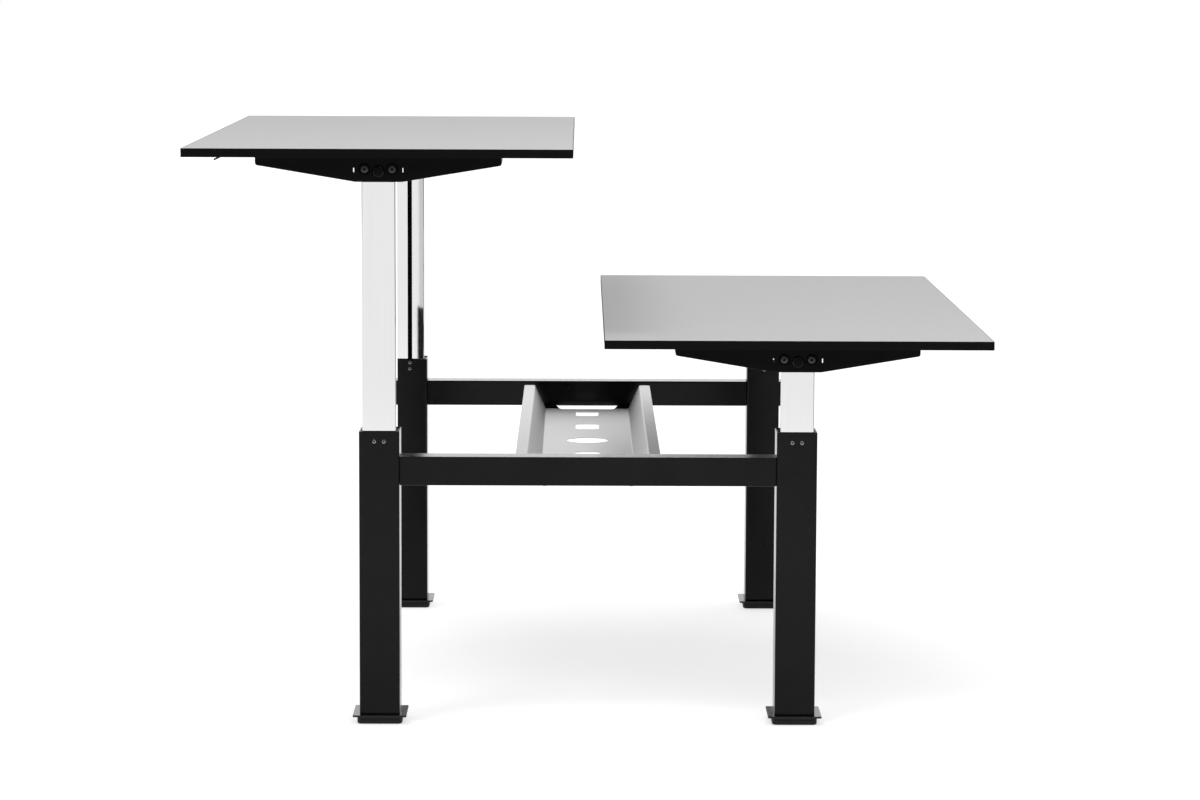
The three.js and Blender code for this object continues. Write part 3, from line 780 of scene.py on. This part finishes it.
def column_screws():
    """Two screws abreast in the column's end face, and two one above the other in its inner face."""
    low, high = box_mm("outer_column_left_near")
    half = (high.x - low.x) / 2
    bm = bmesh.new()
    for x in (-END_SCREW_OFFSET, END_SCREW_OFFSET):
        add_screw(bm, moved(x, -half, high.z - END_SCREW_DROP) @ OUT_NEAR, COLUMN_SCREW)
    for drop in INNER_SCREW_DROPS:
        add_screw(bm, moved(0, half, high.z - drop) @ OUT_FAR, COLUMN_SCREW)
    return finished(bm, SCREW_STEEL, PAINTED_SHADE)


def base_plate():
    low, high = box_mm("base_plate_left_near")
    width = high.x - low.x
    bm = prism(rounded_rect(width, width, PLATE_RADIUS), low.z, high.z)
    hole = prism(circle(STUD_HOLE), low.z - THROUGH, high.z + THROUGH)
    return finished(bm, COARSE_COAT, cuts=[hole], bevel=0.7)


def levelling_foot():
    low, high = box_mm("levelling_foot_left_near")
    width = high.x - low.x
    top = box_mm("base_plate_left_near")[0].z - PLATE_GAP
    profile = lower_edge(FOOT_ROUNDING, CORNER_STEPS) + [
        (0, GROOVE_LOW),
        (GROOVE_DEPTH, GROOVE_LOW + GROOVE_EDGE),
        (GROOVE_DEPTH, GROOVE_HIGH - GROOVE_EDGE),
        (0, GROOVE_HIGH),
        (0, top - RIM_ROUNDING),
        (RIM_ROUNDING, top),
    ]
    bm = bmesh.new()
    skin(bm, stepped(width, width, FOOT_RADIUS, profile))
    stud = [
        (STUD_RADIUS, top - STUD_ROOT),
        (STUD_RADIUS, high.z - STUD_CHAMFER),
        (STUD_RADIUS - STUD_CHAMFER, high.z),
    ]
    add_turned(bm, stud, sides=SCREW_SIDES, index=1)
    return finished(bm, PLASTIC, STEEL)


def cross_beam():
    size = size_of("cross_beam_near")
    bm = tube(size.y, size.z, BEAM_WALL, BEAM_RADIUS, -size.x / 2, size.x / 2, ALONG_X)
    return finished(bm, POWDER_COAT)


def cutout(end):
    """The +X half of the far end's cable opening, up to the given place along Y."""
    lean = (CUTOUT_HIGH - CUTOUT_LOW) / (CUTOUT_END - CUTOUT_START)
    bend = CUTOUT_START + CUTOUT_RADIUS
    side = curve(
        (CUTOUT_LOW - CUTOUT_RADIUS, CUTOUT_START),
        (CUTOUT_LOW, CUTOUT_START),
        (CUTOUT_LOW + CUTOUT_RADIUS * lean, bend),
    )
    side.append((CUTOUT_LOW + lean * (end - CUTOUT_START), end))
    return side


def mirrored(side):
    """A whole outline from its half at +X, which starts at the lower end."""
    return side + [(-x, y) for x, y in side[::-1]]


def outside_corner(radius):
    """What is cut from a square corner at +X and +Y to round it."""
    arc = [
        (radius * math.cos(angle), radius * math.sin(angle))
        for angle in (math.pi / 2 * step / CORNER_STEPS for step in range(CORNER_STEPS + 1))
    ]
    outside = radius + THROUGH
    return arc + [(0, outside), (outside, outside), (outside, 0)]


def cable_tray():
    """The tray about its floor's upper face, whose walls slope back to the floor at both ends."""
    low, high = box_mm("cable_tray")
    depth = high.z - low.z - TRAY_SHEET
    right = [(TRAY_FLOOR / 2, 0), (TRAY_MOUTH / 2, depth), (high.x, depth)]
    left = [(-x, z) for x, z in right[::-1]]
    section = folded_sheet(left + right, TRAY_SHEET, TRAY_FOLD)
    half = (high.y - low.y) / 2
    bm = prism(section, -half, half, OUT_NEAR)

    cut = bmesh.new()
    reach = TRAY_SHEET + THROUGH
    add_prism(cut, circle(HOLE_DIAMETER / 2, HOLE_SIDES), -reach, reach)
    for y in SLOT_PLACES:
        slot = rounded_rect(SLOT_WIDTH, SLOT_LENGTH, SLOT_RADIUS)
        add_prism(cut, slot, -reach, reach, moved(y=y))
    opening = mirrored(cutout(FLOOR_END + THROUGH))
    corner = outside_corner(FLANGE_RADIUS)
    past = half + THROUGH
    slope_top = depth - TRAY_SHEET - SLOPE_DROP
    slope = [
        (FLOOR_END, -reach),
        (past, -reach),
        (past, slope_top),
        (half, slope_top),
        (FLOOR_END, 0),
    ]
    slopes = bmesh.new()
    for turn in (0, 180):
        about = turned_about("Z", turn)
        add_prism(cut, opening, -reach, reach, about)
        add_prism(slopes, slope, -high.x, high.x, about @ ALONG_X)
        for flip in (1, -1):
            at = about @ moved(flip * (high.x - FLANGE_RADIUS), half - FLANGE_RADIUS, depth)
            add_prism(cut, corner, -reach, reach, at @ Matrix.Diagonal((flip, 1, 1, 1)))
    return finished(bm, SILVER, cuts=[cut, slopes])


def tray_bracket():
    """The far bracket's plate, under the tray's end and the beam."""
    low, high = box_mm("tray_bracket_far")
    side = high.x + BRACKET_LIP
    plate = [(-side, low.y), (side, low.y), (side, high.y), (-side, high.y)]
    bm = prism(plate, low.z, high.z)
    hole = prism(mirrored(cutout(CUTOUT_END)), low.z - THROUGH, high.z + THROUGH)
    return finished(bm, POWDER_COAT, cuts=[hole], bevel=0.5)


def bracket_screws():
    low, high = box_mm("tray_bracket_far")
    below = turned_about("X", 180)
    bm = bmesh.new()
    at_beam = (high.x - BEAM_SCREW_INSET[0], high.y - BEAM_SCREW_INSET[1])
    at_tray = (high.x - TRAY_SCREW_INSET[0], low.y + TRAY_SCREW_INSET[1])
    for flip in (-1, 1):
        for x, y in (at_beam, at_tray):
            add_screw(bm, moved(flip * x, y, low.z) @ below, BRACKET_SCREW)
    return finished(bm, SCREW_STEEL, PAINTED_SHADE)


# Desk: board, band, arms, inner columns and spindles
def board():
    low, high = local_box("desktop_left", DESK)
    size = high - low
    bm = prism(rounded_rect(size.x, size.y, TOP_RADIUS - EDGE_BAND), low.z, high.z)
    return finished(bm, LAMINATE, bevel=0.25)


def edge_band():
    low, high = local_box("edge_band_left", DESK)
    size = high - low
    profile = lower_edge(BAND_ROUNDING, FOLD_STEPS)
    profile += [(less, size.z - z) for less, z in profile[::-1]]
    profile += [(EDGE_BAND, size.z), (EDGE_BAND, 0)]
    bm = bmesh.new()
    skin(bm, stepped(size.x, size.y, TOP_RADIUS, profile), closed=True)
    return finished(bm, EDGING)


def arm_outline(length, height):
    tip, flat = length / 2, ARM_FLAT / 2
    tip_z = height - ARM_TIP
    slope = tip_z / (tip - flat)
    r = ARM_TIP_RADIUS
    rounded_tip = curve((tip - r, tip_z - r * slope), (tip, tip_z), (tip, tip_z + r))
    return mirrored([(flat, 0), *rounded_tip, (tip, height)])


def arm_pocket(length, height):
    slope = (height - ARM_TIP) / ((length - ARM_FLAT) / 2)
    rise = ARM_SHEET * math.hypot(1, slope)
    end = length / 2 - ARM_SHEET
    flat = ARM_FLAT / 2 - (rise - ARM_SHEET) / slope
    end_z = rise + (end - ARM_FLAT / 2) * slope
    return mirrored([(flat, ARM_SHEET), (end, end_z), (end, height - ARM_SHEET)])


def arm_face():
    """The arm's outer face over its column, and the arm's size.

    On the face, X is across, Y is up from the arm's underside and Z is out.
    """
    low, high = local_box("support_arm_left_near", HEAD)
    return moved(0, low.y, low.z) @ OUT_NEAR, high - low


def support_arm():
    face, size = arm_face()
    outline = arm_outline(size.x, size.z)
    rings = [level(outline, -size.y)]
    for step in range(FOLD_STEPS + 1):
        angle = step / FOLD_STEPS * math.pi / 2
        less = ARM_FOLD * (1 - math.cos(angle))
        rings.append(level(inset(outline, less), ARM_FOLD * (math.sin(angle) - 1)))
    bm = bmesh.new()
    skin(bm, rings, face)

    pocket = prism(arm_pocket(size.x, size.z), -size.y - THROUGH, -ARM_SHEET, face)
    holes = bmesh.new()
    reach = (-ARM_SHEET - THROUGH, THROUGH)
    add_prism(holes, circle(CAP_DIAMETER / 2, y=SHAFT_RISE), *reach, face)
    slit = rounded_rect(SLIT_WIDTH, SLIT_HEIGHT, SLIT_RADIUS)
    for way in (-1, 1):
        recess = circle(RECESS_DIAMETER / 2, x=way * RECESS_OFFSET, y=RECESS_RISE)
        add_prism(holes, recess, *reach, face)
        add_prism(holes, slit, *reach, face @ moved(way * SLIT_OFFSET, SLIT_RISE))
    under = local_box("support_arm_left_near", HEAD)[0].z
    add_prism(holes, circle(SPINDLE_HOLE / 2), under - THROUGH, under + ARM_SHEET + THROUGH)
    return finished(bm, MATT_COAT, cuts=[pocket, holes], bevel=0.2)


def arm_fixings():
    """Two socket screws on washers that lie low in their recesses, with a near-black sheet behind the
    holes that is painted shade for the dark hollow there.
    """
    face, _ = arm_face()
    bm = bmesh.new()
    # Painted shade: a near-black sheet behind the cap's hole and the recesses.
    shade_sheet = (-ARM_SHEET - SHADE_SHEET_BACK, -ARM_SHEET - SHADE_SHEET_FACE)
    add_prism(bm, circle(CAP_DIAMETER / 2 + SHADE_SHEET_LIP, y=SHAFT_RISE), *shade_sheet, face, index=1)
    for way in (-1, 1):
        hole = circle(RECESS_DIAMETER / 2 + SHADE_SHEET_LIP, x=way * RECESS_OFFSET, y=RECESS_RISE)
        add_prism(bm, hole, *shade_sheet, face, index=1)
        at = face @ moved(way * RECESS_OFFSET, RECESS_RISE - ARM_SCREW_DROP, -ARM_SHEET)
        add_washer(bm, at, ARM_WASHER, index=2)
        add_screw(bm, at @ moved(z=ARM_WASHER[-1]), ARM_SCREW)
    return finished(bm, BLACK_ZINC, PAINTED_SHADE, MATT_COAT)


def shaft_cap():
    """The cap over the shaft's end, low in its hole, with a blackened chamfer round it."""
    face, _ = arm_face()
    edge = CAP_DIAMETER / 2 - CAP_DROP - CAP_GAP
    profile = [(edge - less, z) for less, z in CAP_PROFILE] + [CAP_TIP]
    bm = bmesh.new()
    faces = add_turned(bm, profile, face @ moved(0, SHAFT_RISE - CAP_DROP, -ARM_SHEET))
    for chamfer in faces[ROUND_SIDES:2 * ROUND_SIDES]:
        chamfer.material_index = 1
    return finished(bm, EDGING, BLACK_ZINC)


def inner_column():
    """A square tube with a slot down its inner face, plated outside, and dark oiled steel inside made
    near black as painted shade in the tube.
    """
    low, high = local_box("inner_column_left_near", HEAD)
    half = (high.x - low.x) / 2
    slot = COLUMN_SLOT / 2
    outer = rounded_rect(2 * half, 2 * half, INNER_RADIUS)
    bore = rounded_rect(2 * (half - INNER_WALL), 2 * (half - INNER_WALL), INNER_BORE_RADIUS)
    split = CORNER_STEPS + 1
    outside = [(-slot, half), *outer[split:], *outer[:split], (slot, half)]
    inside = [(-slot, half - INNER_WALL), *bore[split:], *bore[:split], (slot, half - INNER_WALL)]
    bm = bmesh.new()
    faces = skin(bm, [level(outside + inside[::-1], z) for z in (low.z, high.z)])
    first_inside = len(outside)
    for face in faces[first_inside:first_inside + len(inside) - 1]:
        face.material_index = 1
    return finished(bm, CHROME, OILED_STEEL_AND_PAINTED_SHADE, bevel=0.25)


def spindle():
    """A two-start screw with its bevel gear at the upper end."""
    low, high = local_box("spindle_left_near", HEAD)
    gear_radius = (high.x - low.x) / 2
    gear_low = local_box("gearbox_left_near", HEAD)[0].z + GEAR_RISE
    rings = []
    rise = THREAD_PITCH / RINGS_PER_PITCH
    count = int((gear_low - THREAD_END - low.z) / rise)
    for row in range(count + 1):
        z = low.z + row * rise
        ring = []
        for step in range(SCREW_SIDES):
            angle = 2 * math.pi * step / SCREW_SIDES
            crest = 0.5 + 0.5 * math.cos(THREAD_STARTS * angle - 2 * math.pi * z / THREAD_PITCH)
            radius = THREAD_RADIUS - THREAD_DEPTH * (1 - min(1.0, THREAD_CREST * crest))
            ring.append((radius * math.cos(angle), radius * math.sin(angle), z))
        rings.append(ring)
    journal = [(JOURNAL_RADIUS, gear_low - JOURNAL_LENGTH), (JOURNAL_RADIUS, gear_low)]
    gear = [
        (gear_radius - GEAR_CHAMFER, gear_low),
        (gear_radius, gear_low + GEAR_EDGE),
        (GEAR_TOP_RADIUS, high.z),
    ]
    rings += [level(circle(radius, SCREW_SIDES), z) for radius, z in journal + gear]
    bm = bmesh.new()
    skin(bm, rings)
    return finished(bm, OILED_STEEL_AND_PAINTED_SHADE)


# Desk: what hangs under the board
def side_rail():
    low, high = local_box("side_rail_left_user", DESK)
    size = high - low
    bm = tube(size.x, size.z, RAIL_WALL, RAIL_RADIUS, -size.y / 2, size.y / 2, OUT_NEAR)
    return finished(bm, POWDER_COAT)


def rail_screws():
    low, high = local_box("side_rail_left_user", DESK)
    drop = (high.z - low.z) / 2
    bm = bmesh.new()
    for y in RAIL_SCREW_PLACES:
        at = moved(0, y, -drop) @ turned_about("X", 180)
        add_washer(bm, at, RAIL_WASHER)
        add_screw(bm, at @ moved(z=RAIL_WASHER[-1]), RAIL_SCREW)
    return finished(bm, SCREW_STEEL, PAINTED_SHADE)


def motor():
    """The gear head on the shaft, the motor's can beside it, and the head's screws."""
    low, high = local_box("motor_left", DESK)
    shaft = local_box("drive_shaft_left", DESK)
    axis_z = (shaft[0].z + shaft[1].z) / 2
    head_end = low.y + HEAD_LENGTH
    middle = moved((low.x + high.x) / 2, (low.y + head_end) / 2)
    outline = rounded_rect(high.x - low.x, HEAD_LENGTH, HEAD_RADIUS)
    bm = prism(outline, low.z, high.z, middle)
    along_shaft = moved(z=axis_z) @ OUT_NEAR
    bore = prism(circle(HEAD_BORE), -head_end - THROUGH, -low.y + THROUGH, along_shaft)
    head_mesh = finished(bm, CASTING, cuts=[bore], bevel=1.6, steps=3)

    profile = [(CAN_RADIUS - less, head_end + y) for less, y in CAN_START]
    profile += [(CAN_RADIUS - less, high.y - y) for less, y in CAN_BAND]
    profile += [(radius, high.y - y) for radius, y in CAN_TIP]
    can = bmesh.new()
    add_turned(can, profile, moved(low.x + CAN_RADIUS, 0, axis_z) @ OUT_FAR)
    can_mesh = finished(can, PLASTIC)

    fixings = bmesh.new()
    below = turned_about("X", 180)
    for x in (low.x + HEAD_SCREW_INSET, high.x - HEAD_SCREW_INSET):
        for y in (low.y + HEAD_SCREW_INSET, head_end - HEAD_SCREW_INSET):
            add_screw(fixings, moved(x, y, low.z) @ below, MOTOR_SCREW)
    return head_mesh, can_mesh, finished(fixings, SCREW_STEEL, PAINTED_SHADE)


def case_place():
    """The middle of the control box's underside, and its size."""
    low, high = local_box("control_box_left", DESK)
    middle = (low + high) / 2
    return moved(middle.x, middle.y, low.z), high - low


def socket_places():
    at, size = case_place()
    return [at @ moved(x, -size.y / 2, size.z / 2) @ OUT_NEAR for x in SOCKET_PLACES]


def control_box():
    at, size = case_place()
    profile = lower_edge(CASE_ROUNDING, FOLD_STEPS) + [(0, size.z)]
    bm = bmesh.new()
    skin(bm, stepped(size.x, size.y, CASE_RADIUS, profile), at)

    cut = bmesh.new()
    mouth = rounded_rect(SOCKET_WIDTH, SOCKET_HEIGHT, SOCKET_RADIUS)
    for socket in socket_places():
        add_prism(cut, mouth, -SOCKET_DEPTH, THROUGH, socket)
    vent = rounded_rect(VENT_LENGTH, VENT_WIDTH, VENT_RADIUS)
    for step in range(VENT_COUNT):
        add_prism(cut, vent, -THROUGH, VENT_DEPTH, at @ moved(0, VENT_START + VENT_STEP * step))
    return finished(bm, PLASTIC, cuts=[cut], bevel=0.4)


def control_fittings():
    """Contact pins in the sockets, and the lid's screws."""
    at, _ = case_place()
    bm = bmesh.new()
    for socket in socket_places():
        for x in PIN_PLACES:
            add_turned(bm, PIN_PROFILE, socket @ moved(x=x), SCREW_SIDES)
    for x in (-LID_SCREW_X, LID_SCREW_X):
        for y in (-LID_SCREW_Y, LID_SCREW_Y):
            add_screw(bm, at @ moved(x, y) @ turned_about("X", 180), LID_SCREW)
    return finished(bm, SCREW_STEEL, PAINTED_SHADE)


def gearbox_boss():
    """The bearing's boss where the shaft enters, with its screws."""
    low, high = local_box("gearbox_left_near", HEAD)
    shaft = local_box("drive_shaft_left", DESK)
    axis_z = (shaft[0].z + shaft[1].z) / 2
    at = moved(0, high.y, axis_z) @ OUT_FAR
    bm = bmesh.new()
    skin(bm, [level(circle(radius), z) for radius, z in BOSS_PROFILE], at, closed=True)
    for turn in BOSS_SCREW_TURNS:
        screw = at @ turned_about("Z", turn) @ moved(x=BOSS_SCREW_CIRCLE)
        add_screw(bm, screw, BOSS_SCREW, index=1, socket=2)
    return finished(bm, CASTING, SCREW_STEEL, PAINTED_SHADE)


# The frame's pieces
OUTER_COLUMN = outer_column()
COLUMN_SCREWS = column_screws()
BASE_PLATE = base_plate()
FOOT = levelling_foot()
for side in SIDES:
    for end in ENDS:
        leg = f"{side}_{end}"
        at = column_place(side, end)
        show(f"column_tube_{leg}", OUTER_COLUMN, f"outer_column_{leg}", at)
        show(f"column_screws_{leg}", COLUMN_SCREWS, f"outer_column_{leg}", at, instead=False)
        show(f"foot_plate_{leg}", BASE_PLATE, f"base_plate_{leg}", at)
        show(f"foot_pad_{leg}", FOOT, f"levelling_foot_{leg}", at)
        dressed(f"guide_collar_{leg}", PLASTIC, 0.4)
        dressed(f"spindle_nut_{leg}", BRASS, 0.6)

BEAM = cross_beam()
BRACKET = tray_bracket()
BRACKET_SCREWS = bracket_screws()
for end in ENDS:
    beam = f"cross_beam_{end}"
    show(f"beam_tube_{end}", BEAM, beam, Matrix.Translation(middle_of(beam) * MM))
    bracket = f"tray_bracket_{end}"
    about = turned_about("Z", 180 if end == "near" else 0)
    show(f"bracket_plate_{end}", BRACKET, bracket, about)
    show(f"bracket_screws_{end}", BRACKET_SCREWS, bracket, about, instead=False)
TRAY_Z = box_mm("cable_tray")[0].z + TRAY_SHEET
show("tray_sheet", cable_tray(), "cable_tray", moved(z=TRAY_Z * MM))

# The desks' pieces
BOARD = board()
BAND = edge_band()
ARM = support_arm()
ARM_FIXINGS = arm_fixings()
SHAFT_CAP = shaft_cap()
INNER_COLUMN = inner_column()
SPINDLE = spindle()
BOSS = gearbox_boss()
RAIL = side_rail()
RAIL_SCREWS = rail_screws()
MOTOR_HEAD, MOTOR_CAN, MOTOR_SCREWS = motor()
CONTROL_BOX = control_box()
CONTROL_FITTINGS = control_fittings()
for side in SIDES:
    at = desk_place(side)
    show(f"board_{side}", BOARD, f"desktop_{side}", at)
    show(f"band_{side}", BAND, f"edge_band_{side}", at)
    show(f"motor_head_{side}", MOTOR_HEAD, f"motor_{side}", at)
    show(f"motor_can_{side}", MOTOR_CAN, f"motor_{side}", at, instead=False)
    show(f"motor_screws_{side}", MOTOR_SCREWS, f"motor_{side}", at, instead=False)
    case = f"control_box_{side}"
    show(f"control_case_{side}", CONTROL_BOX, case, at)
    show(f"control_fittings_{side}", CONTROL_FITTINGS, case, at, instead=False)
    dressed(f"drive_shaft_{side}", STEEL, 0.6)
    dressed(f"handset_housing_{side}", PLASTIC, 1.2)
    dressed(f"handset_paddle_{side}", PLASTIC, 0.9)
    for place in ("user", "inner"):
        rail = f"side_rail_{side}_{place}"
        middle = Matrix.Translation(middle_of(rail) * MM)
        show(f"rail_tube_{side}_{place}", RAIL, rail, middle)
        show(f"rail_screws_{side}_{place}", RAIL_SCREWS, rail, middle, instead=False)
    for end in ENDS:
        leg = f"{side}_{end}"
        at = head_place(side, end)
        arm = f"support_arm_{leg}"
        show(f"arm_sheet_{leg}", ARM, arm, at)
        show(f"arm_fixings_{leg}", ARM_FIXINGS, arm, at, instead=False)
        show(f"shaft_cap_{leg}", SHAFT_CAP, arm, at, instead=False)
        show(f"column_chrome_{leg}", INNER_COLUMN, f"inner_column_{leg}", at)
        show(f"spindle_screw_{leg}", SPINDLE, f"spindle_{leg}", at)
        dressed(f"gearbox_{leg}", CASTING, 1.2)
        show(f"gearbox_boss_{leg}", BOSS, f"gearbox_{leg}", at, instead=False)


# Studio: a strip of white floor, a surround that is bright behind the desks and dim on the
# camera's side, a wide sky light from the left front and a soft lamp from the front.
def mixed(tree, share, first, second):
    mix = tree.nodes.new("ShaderNodeMixShader")
    tree.links.new(share, mix.inputs["Fac"])
    tree.links.new(first, mix.inputs[1])
    tree.links.new(second, mix.inputs[2])
    return mix.outputs["Shader"]


def counted(tree, operation, *terms):
    """A sum on other nodes' values and plain numbers."""
    node = tree.nodes.new("ShaderNodeMath")
    node.operation = operation
    for term, socket in zip(terms, node.inputs):
        if isinstance(term, (int, float)):
            socket.default_value = term
        else:
            tree.links.new(term, socket)
    return node.outputs["Value"]


def floor():
    """White all over, with a glow where it is seen that grows away from the desks' shadow. The glow's
    weaker middle round the desks is painted shade.
    """
    mesh = bpy.data.meshes.new("floor")
    bm = bmesh.new()
    bmesh.ops.create_grid(bm, x_segments=1, y_segments=1, size=0.5)
    middle = (FLOOR_LEFT + FLOOR_RIGHT) / 2
    bm.transform(moved(x=middle) @ Matrix.Diagonal((FLOOR_RIGHT - FLOOR_LEFT, FLOOR_LENGTH, 1, 1)))
    bm.to_mesh(mesh)
    bm.free()
    paint = bpy.data.materials.new("floor_white")
    paint.use_nodes = True
    tree = paint.node_tree

    def white(level_of):
        shader = tree.nodes.new("ShaderNodeBsdfDiffuse")
        shader.inputs["Color"].default_value = (*grey(level_of), 1)
        return shader.outputs["BSDF"]

    ray = tree.nodes.new("ShaderNodeLightPath").outputs
    in_mirror = counted(tree, "MAXIMUM", ray["Is Glossy Ray"], ray["Is Transmission Ray"])
    seen = counted(tree, "MAXIMUM", ray["Is Camera Ray"], in_mirror)
    # Painted shade: the glow is weaker near the shade's middle, which darkens the floor round the
    # desks.
    away = tree.nodes.new("ShaderNodeVectorMath")
    away.operation = "DISTANCE"
    away.inputs[1].default_value = PAINTED_SHADE_MIDDLE
    tree.links.new(tree.nodes.new("ShaderNodeTexCoord").outputs["Object"], away.inputs[0])
    strength = tree.nodes.new("ShaderNodeMapRange")
    tree.links.new(away.outputs["Value"], strength.inputs["Value"])
    for name, number in GLOW_AND_PAINTED_SHADE.items():
        strength.inputs[name].default_value = number
    glow = tree.nodes.new("ShaderNodeEmission")
    tree.links.new(strength.outputs["Result"], glow.inputs["Strength"])
    lifted = tree.nodes.new("ShaderNodeAddShader")
    tree.links.new(white(FLOOR_SEEN), lifted.inputs[0])
    tree.links.new(glow.outputs["Emission"], lifted.inputs[1])
    shown = mixed(tree, seen, white(FLOOR_UNSEEN), lifted.outputs["Shader"])
    tree.links.new(shown, tree.nodes["Material Output"].inputs["Surface"])
    mesh.materials.append(paint)
    ground = bpy.data.objects.new("floor", mesh)
    bpy.context.scene.collection.objects.link(ground)


def surround():
    """Light that falls off from +Y to -Y, with plain white where the camera sees it."""
    world = bpy.data.worlds.new("studio")
    world.use_nodes = True
    tree = world.node_tree
    split = tree.nodes.new("ShaderNodeSeparateXYZ")
    tree.links.new(tree.nodes.new("ShaderNodeTexCoord").outputs["Generated"], split.inputs["Vector"])
    share = counted(tree, "MULTIPLY_ADD", split.outputs["Y"], 0.5, 0.5)
    fall = counted(tree, "POWER", share, AROUND_FALL)
    strength = counted(tree, "MULTIPLY_ADD", fall, AROUND_BRIGHT, AROUND_DIM)
    around = tree.nodes.new("ShaderNodeBackground")
    tree.links.new(strength, around.inputs["Strength"])
    behind = tree.nodes.new("ShaderNodeBackground")
    for sky in (around, behind):
        sky.inputs["Color"].default_value = (1, 1, 1, 1)
    ray = tree.nodes.new("ShaderNodeLightPath").outputs
    lights = (around.outputs["Background"], behind.outputs["Background"])
    shown = mixed(tree, ray["Is Camera Ray"], *lights)
    tree.links.new(shown, tree.nodes["World Output"].inputs["Surface"])
    bpy.context.scene.world = world


def lamp(name, place, target, size, power):
    light = bpy.data.lights.new(name, "AREA")
    light.shape = "DISK"
    light.size = size
    light.energy = power
    holder = bpy.data.objects.new(name, light)
    bpy.context.scene.collection.objects.link(holder)
    holder.location = place
    aim = Vector(target) - Vector(place)
    holder.rotation_euler = aim.to_track_quat("-Z", "Y").to_euler()


def sun(name, towards, strength, spread):
    light = bpy.data.lights.new(name, "SUN")
    light.energy = strength
    light.angle = math.radians(spread)
    holder = bpy.data.objects.new(name, light)
    bpy.context.scene.collection.objects.link(holder)
    holder.rotation_euler = Vector(towards).to_track_quat("Z", "Y").to_euler()


def camera():
    lens = bpy.data.cameras.new("camera")
    lens.lens = LENS
    lens.sensor_width = SENSOR
    holder = bpy.data.objects.new("camera", lens)
    bpy.context.scene.collection.objects.link(holder)
    level_aim = turned_about("Z", CAMERA_TURN) @ turned_about("X", 90 - CAMERA_TILT)
    holder.matrix_world = moved(*CAMERA_PLACE) @ level_aim @ turned_about("Z", CAMERA_ROLL)
    bpy.context.scene.camera = holder


floor()
surround()
sun("sky", SKY_FROM, SKY_STRENGTH, SKY_SPREAD)
lamp("key", KEY_PLACE, KEY_TARGET, KEY_SIZE, KEY_POWER)
camera()
bpy.context.scene.view_settings.view_transform = "Standard"
